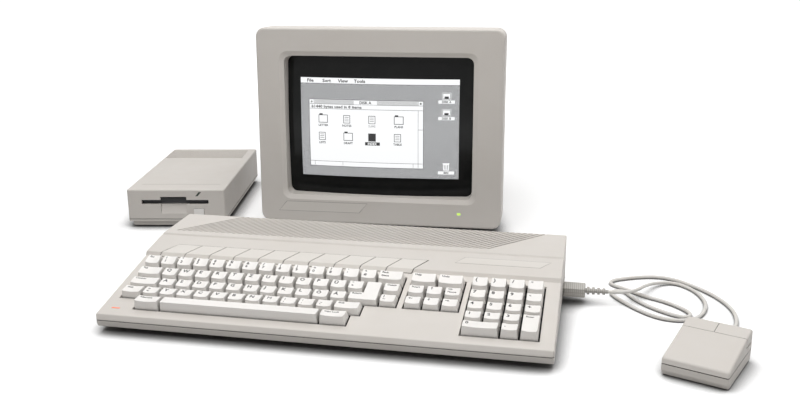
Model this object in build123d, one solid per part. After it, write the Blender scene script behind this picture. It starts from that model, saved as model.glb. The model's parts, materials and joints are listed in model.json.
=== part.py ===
"""Vintage home computer: wedge keyboard console, monochrome monitor, floppy drive and mouse.

Millimetres, +X right, +Y away from the user, +Z up.  Each unit is drawn in a frame of its own with
the origin at its front left bottom corner, placed on the desk, and at the end everything is shifted
so that the origin is at the centre of the set's footprint, on the desk.
"""
from build123d import *
import math
import os

# ---------------------------------------------------------------- console case
CONSOLE_W = 470.0
CONSOLE_D = 240.0
CASE_WALL = 2.5
CASE_FLOOR_Z = 6.5          # underside of the case, on its rubber feet
CASE_SPLIT_Z = 15.5         # where the top and bottom cases meet
CASE_CORNER_R = 4.0
CASE_EDGE_R = 1.2
NOSE_Y = 2.5                # front top edge
NOSE_Z = 21.5
DECK_ANGLE = 11.8           # slope of the key deck
BANK_Y = 118.0              # front of the function key bank
BANK_LIP = 2.6              # run of the bank's front face
BANK_RISE = 4.5             # height of the bank's front face
BANK_ANGLE = 10.8
SHELF_Y = 165.7             # front of the rear, grilled shelf
SHELF_Z = 57.8
SHELF_ANGLE = 1.4
TROUGH_W = 5.7              # shallow trough in front of the shelf
TROUGH_DEPTH = 2.3
SEAM_H = 0.9                # shadow groove where two shells meet
SEAM_DEPTH = 1.3

# ---------------------------------------------------------------- keys, in the deck's own frame
PITCH = 19.05
KEY_GAP = 1.7               # between two keys' skirts
KEYS_X = 12.1               # left edge of the main block
KEYS_S = 12.8               # front edge of the bottom row, along the deck
CURSOR_X = 314.3
PAD_X = 378.3
WELL_GAP = 0.8
KEY_TRAVEL = 3.8
SKIRT_N = -1.0              # bottom of a key's skirt below the deck
CAP_SIDE = 1.25             # how far a cap's top is in from its skirt, each side
CAP_FRONT = 0.7
CAP_BACK = 4.5
CAP_DISH = 0.9
CAP_ROUND = 1.4
CAP_CEILING = 1.5
STEM = 4.0
STEM_END = -4.6
HOUSING = 12.6
HOUSING_TOP = -2.6
PLATE_TOP = -8.6
PLATE_T = 1.2
BOARD_T = 1.6
FIT = 0.1                   # guide clearance, each side
ROW_BACK = [11.0, 7.8, 6.4, 6.8, 8.3]     # cap height at its back edge, rows 1 to 5
ROW_FRONT = [9.0, 7.2, 6.6, 8.2, 10.3]    # cap height at its front edge

# ---------------------------------------------------------------- function keys
FKEY_X = 17.8
FKEY_PITCH = 29.3
FKEY_COUNT = 10
FKEY_SLANT = 14.5           # sideways run over the key's depth
FKEY_D = 22.4
FKEY_SLIT = 1.1
FKEY_T = 3.0
FKEY_TRAVEL = 2.5

# ---------------------------------------------------------------- rear grille
GRILLE_X = 11.5
GRILLE_Y = 177.0
GRILLE_PITCH = 7.0
GRILLE_COUNT = 54
GRILLE_GAP = 3.3            # groove width along X
GRILLE_DEPTH = 1.8
VENT_GAP = 1.6              # through slot at the bottom of a groove
VENT_MARGIN = 12.0

# ---------------------------------------------------------------- console inside
MAINBOARD = [12.0, 450.0, 142.0, 232.0]   # x0, x1, y0, y1
MAINBOARD_Z = 14.0
CHIP_ROWS = [(30.0, 52.0, 62.0, 8.0, 15.0, 6), (34.0, 22.0, 30.0, 30.0, 7.0, 8),
             (300.0, 26.0, 40.0, 30.0, 26.0, 3)]    # first x, width, pitch, y, depth, number
CHIP_T = 4.0
SHIELD_H = 17.0
SHIELD_T = 0.8
CONSOLE_SCREWS = [(20.0, 8.5), (235.0, 8.5), (450.0, 8.5),
                  (20.0, 150.0), (455.0, 150.0), (223.0, 150.0)]
PLATE_POSTS_X = [7.2, 310.85, 374.9, 462.5]
PLATE_POSTS_S = [24.0, 101.0]
PLATE_POST_R = 2.3
PLATE_PIN_R = 1.0           # small screws of the key plate
SCREW_R = 1.4
SCREW_HEAD_R = 2.8
SCREW_HEAD_H = 1.8
SCREW_FIT = 0.05
BOSS_R = 3.6
FOOT_R = 8.0

# sockets along the rear wall: centre x, width, kind
REAR_SOCKETS = [(32.0, 17.0, "round"), (54.0, 17.0, "round"), (84.0, 19.0, "round"), (134.0, 53.0, "wide"),
                (198.0, 53.0, "wide"), (243.0, 19.0, "round"), (284.0, 40.0, "wide"), (322.0, 17.0, "round")]
SOCKET_H = 13.0
SOCKET_D = 16.0
SOCKET_BORE = 10.0          # depth of a socket's mouth
PIN_BACK = 5.2              # contacts stand this far behind the mouth
SOCKET_PROUD = 0.6
SHARE_GAP = 0.4             # joint between two sockets' face plates
SHARE_END = 3.0             # face plates reach this far past the outer sockets
SHARE_RISE = 1.4            # and above them
SHARE_SINK = 0.4            # face plates lie this far behind the wall's face
ROCKER_X = 362.0
ROCKER_W = 13.0
ROCKER_H = 19.0
ROCKER_ANGLE = 12.0
ROCKER_SINK = 4.5           # depth of the rocker's pivot below the wall's outer face
ROCKER_PIN_R = 1.2
RESET_X = 396.0
RESET_R = 4.0
RESET_TRAVEL = 2.5
RESET_PROUD = 2.8
RESET_COLLAR = 1.5
RESET_STEM_R = 1.8
PORT_Y = [184.0, 219.0]     # mouse port and joystick port in the right side
PORT_Z = 14.25
PORT_W = 31.0
PORT_H = 10.5
PORT_D = 12.0
PORT_INSET = 1.2
PORT_BORE = 8.5
CART_Y = 188.0              # cartridge slot in the left side
CART_W = 72.0
CART_H = 10.0
CART_Z = 24.0
LAMP_X = 12.0
LAMP_S = 11.8
LAMP_W = 9.0
LAMP_D = 1.6

# ---------------------------------------------------------------- monitor
MONITOR_AT = (43.7, 377.1, 12.0)
MONITOR_YAW = 2.77
MONITOR_LEAN = 2.4
BEZEL_W = 334.0
BEZEL_H = 266.5
BEZEL_D = 46.0
BEZEL_R = 12.5
BEZEL_EDGE_R = 3.5
BEZEL_WALL = 3.0
OPENING = (37.6, 294.3, 38.5, 229.6)      # u0, u1, w0, w1 of the screen opening
OPENING_R = 9.0
RECESS_D = 24.0
RECESS_IN = 1.5
DISH_W = 6.0                              # dished band round the opening
DISH_D = 3.0
TUBE_FRONT = 9.0                          # depth of the middle of the glass
TUBE_BULGE_R = 1000.0
TUBE_OVER = 5.5                           # glass hidden behind the recess's edge, each side
TUBE_GAP = 0.3
TUBE_CORNER_R = 14.0
TUBE_RIM = 58.0
TUBE_STEP = 4.0                           # the funnel's rim is this far in from the panel's
GLASS_PANEL = 8.0
GLASS_FUNNEL = 3.0
FUNNEL_END = 196.0
NECK_R = 14.5
NECK_END = 262.0
LUG_D = 36.0
LUG_R = 4.5
LUG_OUT = 9.0
LUG_IN = 14.0
BAND_W = 16.0
BAND_T = 1.2
COIL_L = 34.0                             # deflection coils and their clamp
COIL_R = 34.0
CLAMP_L = 8.0
CLAMP_R = 22.0
LAMP_AT = (277.1, 19.6)
HOUSING_STEP = 5.0
HOUSING_R = 9.0
HOUSING_BACK = (214.0, 178.0)
HOUSING_END = 292.0
HOUSING_SKIRT = 74.0
HOUSING_RISE = 20.0
FOOT_W = 176.0
FOOT_D = (58.0, 250.0)
PAD_H = 2.0
PAD_IN = 18.0
SLOT_W = 3.0                              # cooling slots: width, length, number, pitch, rows
SLOT_L = 56.0
SLOT_N = 22
SLOT_PITCH = 7.0
SLOT_ROWS = (98.0, 176.0)
CHASSIS_W = 34.0
CHASSIS_SIZE = 190.0
CHASSIS_D = 88.0
BACK_SOCKETS = [(58.0, 86.0, 20.0), (112.0, 131.0, 17.0)]    # left and right edges from the back's, height
WHEEL_R = 11.0
WHEEL_T = 6.0
WHEEL_Z = 34.0
WHEEL_APART = 28.0
WHEEL_PROUD = 2.0
WHEEL_RIBS = 36
SPINDLE_R = 2.0

# ---------------------------------------------------------------- disk drive
DRIVE_AT = (-144.1, 347.0, 0.0)
DRIVE_YAW = 10.43
DRIVE_W = 138.0
DRIVE_D = 259.0
DRIVE_H = 54.8
DRIVE_WALL = 2.4
DRIVE_SPLIT = 12.5
DRIVE_R = 3.0
DRIVE_EDGE_R = 2.0
PLINTH_Z = (2.0, 9.0)
PLINTH_IN = 4.7
SLOT = (20.3, DRIVE_W - 22.9, 34.0, 40.0)             # disk slot: u0, u1, z0, z1
HUB_U = (SLOT[0] + SLOT[1]) / 2
NOTCH = (HUB_U - 20.7, HUB_U + 16.3, 44.4)            # thumb notch above the slot: u0, u1, top
RAMP = (NOTCH[0], NOTCH[1], 20.2)                     # finger ramp below the slot: u0, u1, bottom
RAMP_DEPTH = 7.0
EJECT = (DRIVE_W - 44.0, DRIVE_W - 30.0, 18.0, 27.4)  # u0, u1, z0, z1
EJECT_PROUD = 1.5
EJECT_TRAVEL = 6.0
DRIVE_LAMP = (DRIVE_W - 39.4, 45.5, DRIVE_W - 34.2, 51.5)     # lower and upper end: u, z, u, z
DRIVE_LAMP_W = 3.4
DRIVE_GRILLE = (195.0, 8.0)
DRIVE_BOARD_D = 176.0                     # front edge of the logic board
DRIVE_SOCKETS = [(16.0, 33.0), (41.0, 58.0), (66.0, 83.0)]    # left and right edges
MECH = (15.0, DRIVE_W - 17.0, 14.0, 168.0)                    # mechanism frame: u0, u1, d0, d1
MECH_T = 1.6
MECH_LOW = 14.5
MECH_HIGH = 47.0
GUIDE_W = 3.0
HUB_D = 78.0
HUB_R = 13.0
HUB_Z = 33.0
RAIL_OUT = 22.0
RAIL_Z = 25.0
CARRIAGE_TRAVEL = 20.0
FLAP_D = 4.4
FLAP_T = 1.2
FLAP_Z = 41.6
FLAP_PIN_R = 0.8
FLAP_OPEN = 78.0

# ---------------------------------------------------------------- mouse
MOUSE_AT = (566.8, 13.6, 0.0)
MOUSE_YAW = -21.5
MOUSE_W = 62.0
MOUSE_L = 82.0
MOUSE_H = 33.0
MOUSE_FRONT_H = 18.5
MOUSE_SPLIT = 13.2
MOUSE_TUCK = (4.5, 6.2)    # the front tucks in this far, below this height
MOUSE_LOW = 0.6             # underside, on its glides
MOUSE_WALL = 2.0
MOUSE_R = 3.0
MOUSE_EDGE_R = 2.0
MOUSE_BOSS_V = 12.0
BUTTON_V = 59.0             # seam between palm rest and buttons
BUTTON_Z = 21.0             # lower edge of the buttons
BUTTON_SKIN = 2.0
BUTTON_GAP = 0.5
BUTTON_DROP = 1.8
BUTTON_ANGLE = 3.0
BUTTON_PIN_R = 1.2
BUTTON_ARM = 20.0           # width of a button's arm
SWITCH_V = MOUSE_L - 15.0   # micro switches under the buttons
BALL_R = 11.0
BALL_V = 36.0
BALL_Z = BALL_R + 0.1
ROLLER_R = 1.7
ROLLER_L = 12.0
ROLLER_END_R = 0.9
DISC_R = 6.0
RING_R = 17.0
RING_T = 1.6
RING_HOLE_R = 8.5
RING_COVER = 1.6            # floor above the ring
RING_TURN = 25.0
MOUSE_BOARD_Z = 9.8

# ---------------------------------------------------------------- mouse cord and plug
CORD_R = 1.9
PLUG_L = 24.0
PLUG_W = 21.0
PLUG_H = 10.5
PLUG_INSERT = 6.0
RELIEF_L = 25.0
RELIEF_R = (4.4, 3.4)       # rings at the plug and at the cord
RELIEF_CORE = (2.7, 2.2)    # core between the rings
RELIEF_RINGS = 4
RELIEF_RING_W = 3.0
CORD_END_R = 3.0
CORD_EXIT_Z = 9.0
PLUG_GAP = 0.4              # between the plug's hood and the case
CORD_END_IN = 6.0           # length of the mouse's strain relief inside and outside
CORD_END_OUT = 8.0

# Route of the cord's centre line on the desk, between the plug's and the mouse's strain reliefs.
CORD_ROUTE = [
    (550.0, 196.0, 13.4), (561.0, 222.0, 10.5), (574.0, 250.0, 4.0), (594.0, 261.0, 1.9),
    (611.0, 247.5, 1.9), (622.0, 225.5, 1.9), (626.0, 197.0, 1.9), (620.0, 170.0, 1.9),
    (611.0, 155.0, 1.9), (600.0, 148.0, 1.9), (585.0, 146.0, 1.9), (569.0, 152.0, 1.9),
    (552.0, 167.5, 1.9), (537.0, 187.5, 1.9), (524.0, 208.0, 1.9), (523.5, 216.0, 1.9),
    (528.5, 222.0, 1.9), (535.5, 222.5, 1.9), (540.5, 217.5, 1.9), (544.0, 209.0, 1.9),
    (553.0, 193.0, 1.9), (567.0, 177.0, 1.9), (581.0, 165.5, 1.9), (592.0, 159.0, 1.9),
    (599.0, 156.5, 1.9), (605.0, 160.0, 1.9), (606.5, 168.0, 1.9), (602.0, 177.0, 1.9),
    (593.0, 188.0, 1.9), (578.0, 200.5, 1.9), (563.0, 208.5, 1.9), (552.0, 217.5, 1.9),
    (544.0, 225.5, 1.9), (535.5, 232.5, 1.9), (526.5, 238.0, 1.9), (522.0, 246.0, 1.9),
    (525.0, 254.5, 1.9), (534.0, 261.0, 1.9), (555.0, 272.0, 1.9), (575.0, 277.0, 1.9),
    (593.0, 273.5, 1.9), (611.0, 259.0, 1.9), (628.0, 240.5, 1.9), (643.5, 215.0, 1.9),
    (653.5, 184.0, 1.9), (652.5, 150.0, 1.9), (643.0, 121.0, 3.6),
]
CORD_STRAIGHT = 14.0        # straight stretch at each strain relief
LIMP = 3                    # gentlest allowed bend of a limp cord, in diameters


# ---------------------------------------------------------------- plain shapes
def block(x0, x1, y0, y1, z0, z1):
    """Box between two corners."""
    return Pos((x0 + x1) / 2, (y0 + y1) / 2, (z0 + z1) / 2) * Box(x1 - x0, y1 - y0, z1 - z0)


def rod(x, y, z0, z1, radius):
    """Upright cylinder."""
    return Pos(x, y, (z0 + z1) / 2) * Cylinder(radius, z1 - z0)


def rod_x(x0, x1, y, z, radius):
    """Cylinder along X."""
    return Pos((x0 + x1) / 2, y, z) * Rot(0, 90, 0) * Cylinder(radius, x1 - x0)


def rod_y(x, y0, y1, z, radius):
    """Cylinder along Y."""
    return Pos(x, (y0 + y1) / 2, z) * Rot(90, 0, 0) * Cylinder(radius, y1 - y0)


def slab(x0, x1, y0, y1, z0, z1, radius):
    """Box with rounded upright edges."""
    outline = RectangleRounded(x1 - x0, y1 - y0, radius)
    return Pos((x0 + x1) / 2, (y0 + y1) / 2, z0) * extrude(outline, z1 - z0)


def along_x(points, radii, x0, x1):
    """Outline of (y, z) points with rounded corners, run from x0 to x1."""
    outline = make_face(FilletPolyline(*points, radius=radii, close=True))
    return extrude(Plane.YZ.offset(x0) * outline, x1 - x0)


def plan_prism(points, z0, z1):
    """Outline of (x, y) points, run from z0 to z1."""
    return Pos(0, 0, z0) * extrude(make_face(Polyline(*points, close=True)), z1 - z0)


def frame_rect(u0, u1, w0, w1, depth, radius):
    """Rounded rectangle facing the viewer, at a depth behind the unit's front."""
    plane = Plane(origin=((u0 + u1) / 2, depth, (w0 + w1) / 2), x_dir=(1, 0, 0), z_dir=(0, 1, 0))
    return plane * RectangleRounded(u1 - u0, w1 - w0, radius)


def slope(angle):
    """Rise over run of an angle in degrees."""
    return math.tan(math.radians(angle))


def screw(x, y, head_z, tip_z):
    """Pan head screw driven upwards, head underneath."""
    neck_z = head_z + SCREW_HEAD_H
    return rod(x, y, head_z, neck_z, SCREW_HEAD_R) + rod(x, y, neck_z, tip_z, SCREW_R)


# ---------------------------------------------------------------- console case
def deck_z(y):
    """Height of the key deck."""
    return NOSE_Z + (y - NOSE_Y) * slope(DECK_ANGLE)


def bank_z(y):
    """Height of the function key bank."""
    return deck_z(BANK_Y) + BANK_RISE + (y - BANK_Y - BANK_LIP) * slope(BANK_ANGLE)


def shelf_z(y):
    """Height of the rear shelf."""
    return SHELF_Z + (y - SHELF_Y) * slope(SHELF_ANGLE)


DECK = Location((0, NOSE_Y, NOSE_Z), (DECK_ANGLE, 0, 0))


def case_outline(inset):
    """Points and radii of the case's side outline, taken in by a wall."""
    lean = inset / math.cos(math.radians(DECK_ANGLE))
    points = [(4.5 + inset, CASE_FLOOR_Z + inset), (inset, CASE_SPLIT_Z),
              (NOSE_Y + inset, NOSE_Z + inset * slope(DECK_ANGLE) - lean),
              (BANK_Y + inset, deck_z(BANK_Y + inset) - lean),
              (BANK_Y + BANK_LIP + inset, bank_z(BANK_Y + BANK_LIP + inset) - lean),
              (SHELF_Y, shelf_z(SHELF_Y) - lean), (CONSOLE_D - inset, shelf_z(CONSOLE_D) - lean),
              (CONSOLE_D - inset, CASE_FLOOR_Z + inset)]
    return points, [2.5, 4.0, 2.0, 0.6, 1.6, 3.0, 2.0, 1.5]


def case_solid():
    """Outer form of the console, both shells together."""
    points, radii = case_outline(0.0)
    form = along_x(points, radii, 0, CONSOLE_W)
    sides = [e for f in form.faces().filter_by(Axis.X) for e in f.edges()]
    form = fillet([e for e in sides if e.center().Z > CASE_SPLIT_Z + 4], CASE_EDGE_R)
    front = SHELF_Y - TROUGH_W
    trough = [(front, bank_z(front) + 1), (front, bank_z(front)),
              (SHELF_Y - 2, SHELF_Z - TROUGH_DEPTH), (SHELF_Y, SHELF_Z), (SHELF_Y, SHELF_Z + 2)]
    form -= extrude(Plane.YZ.offset(-1) * make_face(Polyline(*trough, close=True)), CONSOLE_W + 2)
    return form & slab(0, CONSOLE_W, 0, CONSOLE_D, 0, 80, CASE_CORNER_R)


def case_hollow():
    """Inside of the console case."""
    points, radii = case_outline(CASE_WALL)
    return along_x(points, [1.0] * len(radii), CASE_WALL, CONSOLE_W - CASE_WALL)


def key_cells():
    """Every key: name of its row group, left x, front s, width and depth in units, row number."""
    cells = []

    def add(group, x0, row, start, widths, deep=1):
        x = start
        for width in widths:
            cells.append((group, x0 + x * PITCH, KEYS_S + (5 - row) * PITCH, width, deep, row))
            x += width

    add("number_row_keys", KEYS_X, 1, 0, [1] * 14 + [1.5])
    add("upper_row_keys", KEYS_X, 2, 0, [1.5] + [1] * 12)
    add("upper_row_keys", KEYS_X, 2, 14.5, [1])
    add("home_row_keys", KEYS_X, 3, 0, [1.75] + [1] * 11)
    add("home_row_keys", KEYS_X, 3, 14.5, [1])
    add("lower_row_keys", KEYS_X, 4, 0, [1.25] + [1] * 11 + [1.5])
    add("bottom_row_keys", KEYS_X, 5, 1.25, [1.5])
    add("space_bar", KEYS_X, 5, 2.75, [9])
    add("bottom_row_keys", KEYS_X, 5, 11.75, [1.5])
    add("cursor_keys", CURSOR_X, 1, 0, [1.5, 1.5])
    add("cursor_keys", CURSOR_X, 2, 0, [1] * 3)
    add("cursor_keys", CURSOR_X, 3, 0, [1] * 3)
    for row in (1, 2, 3):
        add("keypad_keys", PAD_X, row, 0, [1] * 4)
    add("keypad_keys", PAD_X, 4, 0, [1] * 3)
    add("keypad_keys", PAD_X, 5, 0, [2, 1])
    add("keypad_keys", PAD_X, 5, 3, [1], deep=2)
    return cells


RETURN_AT = (KEYS_X + 12.75 * PITCH, KEYS_S + 2 * PITCH)


def key_wells():
    """Openings in the deck that the keys stand in."""
    top = KEYS_S + 5 * PITCH + WELL_GAP

    def well(x0, units, start, row, upper):
        left = x0 + start * PITCH - WELL_GAP
        front = KEYS_S + (5 - row) * PITCH - WELL_GAP
        return block(left, left + units * PITCH + 2 * WELL_GAP, front, upper, -4 * CASE_WALL, 20)

    wells = well(KEYS_X, 15.5, 0, 3, top) + well(KEYS_X, 13.75, 0, 4, KEYS_S + 3 * PITCH)
    wells += well(KEYS_X, 12, 1.25, 5, KEYS_S + 2 * PITCH)
    wells += well(CURSOR_X, 3, 0, 3, top) + well(PAD_X, 4, 0, 5, top)
    return wells.moved(DECK)


def bank_plan(x, y):
    """Plan position on the slanted function key bank: x at its front, carried back to y."""
    return (x + (y - BANK_Y) * FKEY_SLANT / FKEY_D, y)


def bank_opening():
    """Opening of the function key bank."""
    x1 = FKEY_X + FKEY_COUNT * FKEY_PITCH
    front, back = BANK_Y - FKEY_SLIT, BANK_Y + FKEY_D
    corners = [bank_plan(FKEY_X - FKEY_SLIT / 2, front), bank_plan(x1 + FKEY_SLIT / 2, front),
               bank_plan(x1 + FKEY_SLIT / 2, back), bank_plan(FKEY_X - FKEY_SLIT / 2, back)]
    return plan_prism(corners, deck_z(BANK_Y) - 8, 80)


def grille():
    """Slanting grooves of the rear shelf, with through slots at their bottoms."""
    run = CONSOLE_D - GRILLE_Y + 3
    cuts = []
    for index in range(GRILLE_COUNT):
        x = GRILLE_X + index * GRILLE_PITCH
        y = GRILLE_Y - SHELF_Y
        groove = [(x, y), (x + GRILLE_GAP, y), (x + GRILLE_GAP + run, y + run), (x + run, y + run)]
        cuts.append(plan_prism(groove, -GRILLE_DEPTH, 4))
        left = x + (GRILLE_GAP - VENT_GAP) / 2
        y0, y1 = VENT_MARGIN, run - VENT_MARGIN - 3
        vent = [(left + y0, y + y0), (left + VENT_GAP + y0, y + y0),
                (left + VENT_GAP + y1, y + y1), (left + y1, y + y1)]
        cuts.append(plan_prism(vent, -6, 0))
    return [cut.moved(Location((0, SHELF_Y, SHELF_Z), (SHELF_ANGLE, 0, 0))) for cut in cuts]


def wall_openings():
    """Everything that reaches through the console's walls, cut out of both shells."""
    shares, ports = rear_shares(), port_shares()
    deep = 2 * CASE_WALL
    return [block(shares[0][0] - FIT, shares[-1][1] + FIT, CONSOLE_D - deep, CONSOLE_D + 1,
                  CASE_SPLIT_Z, share_top() + FIT),
            switch_window(CASE_WALL).moved(console_switch_place()),
            rod_y(RESET_X, CONSOLE_D - deep, CONSOLE_D + 1, reset_z(), RESET_R + FIT),
            block(CONSOLE_W - deep, CONSOLE_W + 1, ports[0][0] - FIT, ports[-1][1] + FIT,
                  port_floor() - FIT, PORT_Z + PORT_H / 2 + FIT),
            block(-1, deep, CART_Y - CART_W / 2, CART_Y + CART_W / 2,
                  CART_Z - CART_H / 2, CART_Z + CART_H / 2)]


def shares_between(edges, end):
    """Neighbouring pieces' shares of one window: halfway to the next, and past the ends."""
    cuts = [edges[0][0] - end - SHARE_GAP / 2]
    cuts += [(near[1] + far[0]) / 2 for near, far in zip(edges, edges[1:])]
    cuts.append(edges[-1][1] + end + SHARE_GAP / 2)
    return [(low + SHARE_GAP / 2, high - SHARE_GAP / 2) for low, high in zip(cuts, cuts[1:])]


def rear_shares():
    """Left and right edges of the rear sockets' face plates."""
    return shares_between([(x - width / 2, x + width / 2) for x, width, kind in REAR_SOCKETS], SHARE_END)


def share_top():
    """Upper edge of the rear sockets' face plates."""
    return board_top() + SOCKET_H + SHARE_RISE


def port_shares():
    """Near and far edges of the side ports."""
    return shares_between([(y - PORT_W / 2, y + PORT_W / 2) for y in PORT_Y], 0.0)


def port_floor():
    return CASE_FLOOR_Z + CASE_WALL


def board_top():
    """Top face of the mainboard."""
    return MAINBOARD_Z + BOARD_T


def reset_z():
    return board_top() + RESET_R + 3


def plate_posts():
    """Posts under the deck that the key plate is screwed to."""
    return [(x, s) for x in PLATE_POSTS_X for s in PLATE_POSTS_S]


def console_top_case():
    """Top shell with key wells, function key opening, grille and screw bosses."""
    hollow = case_hollow()
    shell = case_solid() - hollow - block(-1, CONSOLE_W + 1, -1, CONSOLE_D + 1, 0, CASE_SPLIT_Z)
    for x, y in CONSOLE_SCREWS:
        shell += rod(x, y, CASE_SPLIT_Z, SHELF_Z, BOSS_R) & hollow
        shell -= rod(x, y, CASE_SPLIT_Z - 1, CASE_SPLIT_Z + 4.2, SCREW_R + SCREW_FIT)
    shell += [rod(x, s, PLATE_TOP, -CASE_WALL / 2, PLATE_POST_R).moved(DECK) for x, s in plate_posts()]
    shell -= [rod(x, s, PLATE_TOP - 1, PLATE_TOP + 4.4, PLATE_PIN_R + SCREW_FIT).moved(DECK)
              for x, s in plate_posts()]
    shell -= key_wells()
    shell -= bank_opening()
    shell -= lamp_block(FIT / 2, 2)
    shell -= wall_openings()
    return shell - grille()


def console_bottom_case():
    """Bottom shell with screw bosses and mainboard standoffs."""
    shell = (case_solid() - case_hollow()) & block(-1, CONSOLE_W + 1, -1, CONSOLE_D + 1, 0, CASE_SPLIT_Z)
    rim = block(-1, CONSOLE_W + 1, -1, CONSOLE_D + 1, CASE_SPLIT_Z - SEAM_H, CASE_SPLIT_Z)
    shell -= rim - slab(SEAM_DEPTH, CONSOLE_W - SEAM_DEPTH, SEAM_DEPTH, CONSOLE_D - SEAM_DEPTH, 0, 40,
                        CASE_CORNER_R)
    floor = CASE_FLOOR_Z + CASE_WALL
    shell += [rod(x, y, floor, CASE_SPLIT_Z, BOSS_R) for x, y in CONSOLE_SCREWS]
    shell += [rod(x, y, floor, MAINBOARD_Z, 3.0) for x, y in board_posts()]
    for x, y in CONSOLE_SCREWS:
        shell -= rod(x, y, CASE_FLOOR_Z - 1, CASE_FLOOR_Z + 3.2, SCREW_HEAD_R + 0.4)
        shell -= rod(x, y, CASE_FLOOR_Z, CASE_SPLIT_Z + 1, SCREW_R + SCREW_FIT)
    return shell - wall_openings()


def board_posts():
    x0, x1, y0, y1 = MAINBOARD
    return [(x, y) for x in (x0 + 8, (x0 + x1) / 2, x1 - 8) for y in (y0 + 8, y1 - 12)]


# ---------------------------------------------------------------- keys
def keycap(units, deep, back, front, dished=True):
    """Cap on its cell, skirt corner at the origin, with its stem below."""
    width, depth = units * PITCH - KEY_GAP, deep * PITCH - KEY_GAP
    top_n = max(back, front) + 1.0
    grow = top_n / (max(back, front))
    skirt = Pos(width / 2, depth / 2, SKIRT_N) * RectangleRounded(width, depth, 1.0)
    top_w = width - 2 * CAP_SIDE * grow
    y0, y1 = CAP_FRONT * grow, depth - CAP_BACK * grow
    crown = Pos(width / 2, (y0 + y1) / 2, top_n) * RectangleRounded(top_w, y1 - y0, CAP_ROUND)
    cap = loft([skirt, crown])
    tilt = math.degrees(math.atan2(back - front, y1 - y0))
    middle = Location((width / 2, (y0 + y1) / 2, (back + front) / 2), (tilt, 0, 0))
    if dished:
        half = width / 2 - CAP_SIDE
        radius = (half * half + CAP_DISH * CAP_DISH) / (2 * CAP_DISH)
        cutter = Pos(0, 0, radius - CAP_DISH) * Rot(90, 0, 0) * Cylinder(radius, 3 * depth)
        cutter &= block(-width, width, -2 * depth, 2 * depth, -5, 30)
    else:
        cutter = block(-width, width, -2 * depth, 2 * depth, 0, 30)
    return cap - cutter.moved(middle)


def stem_places(units, deep):
    """Centres of the stems under a cap, from the corner of its skirt."""
    width, depth = units * PITCH - KEY_GAP, deep * PITCH - KEY_GAP
    if units > 3:
        return [(width / 2 + side * 3 * PITCH, depth / 2) for side in (-1, 0, 1)]
    return [(width / 2, depth / 2)]


def with_stems(cap, places):
    """Cap hollowed over each switch, with a stem that runs in it."""
    half = HOUSING / 2 + 0.3
    for x, y in places:
        cap -= block(x - half, x + half, y - half, y + half, SKIRT_N - 1, CAP_CEILING)
        cap += block(x - STEM / 2, x + STEM / 2, y - STEM / 2, y + STEM / 2, STEM_END, CAP_CEILING + 0.5)
    return cap


def key_rows():
    """Every key of the deck, by row group."""
    made, rows = {}, {}
    for group, x, s, units, deep, row in key_cells():
        size = (units, deep, row)
        if size not in made:
            cap = keycap(units, deep, ROW_BACK[row - deep], ROW_FRONT[row - 1], dished=units < 3)
            made[size] = with_stems(cap, stem_places(units, deep))
        place = DECK * Pos(x + KEY_GAP / 2, s + KEY_GAP / 2, 0)
        rows.setdefault(group, []).append(made[size].moved(place))
    return rows


def return_stem():
    return (1.125 * PITCH, 0.5 * PITCH)


def return_key():
    """Angled return key over the upper and home rows."""
    wide = keycap(1.75, 1, ROW_BACK[2] + 0.2, ROW_FRONT[2], dished=False)
    tall = Pos(0.75 * PITCH, 0, 0) * keycap(1, 2, ROW_BACK[1], ROW_FRONT[2], dished=False)
    x, y = return_stem()
    cap = with_stems(wide + tall, [(x - KEY_GAP / 2, y - KEY_GAP / 2)])
    return cap.moved(DECK * Pos(RETURN_AT[0] + KEY_GAP / 2, RETURN_AT[1] + KEY_GAP / 2, 0))


def bank_face(inset):
    """Outline of the function key bank in (y, z), from its foot to its back."""
    back = BANK_Y + FKEY_D
    lip_y = BANK_Y + BANK_LIP
    return [(BANK_Y + inset, deck_z(BANK_Y) - 2.4), (BANK_Y + inset, deck_z(BANK_Y) + 0.4 - inset / 2),
            (lip_y + inset, bank_z(lip_y) - inset), (back - 0.8, bank_z(back - 0.8) - inset)]


def fkey_centre(index):
    """Plan centre of a function key's stem."""
    y = BANK_Y + 0.55 * FKEY_D
    return bank_plan(FKEY_X + (index + 0.5) * FKEY_PITCH, y)


def deck_point(x, y, z):
    """A point of the case in the deck's own frame."""
    turn = math.radians(DECK_ANGLE)
    dy, dz = y - NOSE_Y, z - NOSE_Z
    return (x, dy * math.cos(turn) + dz * math.sin(turn), dz * math.cos(turn) - dy * math.sin(turn))


def fkey_stem(index):
    """Stem centre of a function key in the deck's frame."""
    x, y = fkey_centre(index)
    x, s, n = deck_point(x, y, bank_z(y))
    return x, s


def function_keys():
    """Row of slanted keys that wrap over the bank's lip."""
    outer, inner = bank_face(0.0), bank_face(FKEY_T)
    lower_front = (BANK_Y + FKEY_T, deck_z(BANK_Y) - 2.4)
    outline = outer + inner[:1:-1] + [lower_front]
    profile = along_x(outline, [0.4, 0.5, 1.8, 0.3, 0.3, 0.6, 0.4], 0, CONSOLE_W)
    keys = []
    for index in range(FKEY_COUNT):
        x0 = FKEY_X + index * FKEY_PITCH + FKEY_SLIT / 2
        x1 = x0 + FKEY_PITCH - FKEY_SLIT
        front, back = BANK_Y - 1, BANK_Y + FKEY_D + 1
        corners = [bank_plan(x0, front), bank_plan(x1, front), bank_plan(x1, back), bank_plan(x0, back)]
        x, s = fkey_stem(index)
        stem = block(x - STEM / 2, x + STEM / 2, s - STEM / 2, s + STEM / 2, STEM_END, CAP_CEILING + 1)
        keys.append((profile & plan_prism(corners, 0, 80)) + stem.moved(DECK))
    return keys


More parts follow.
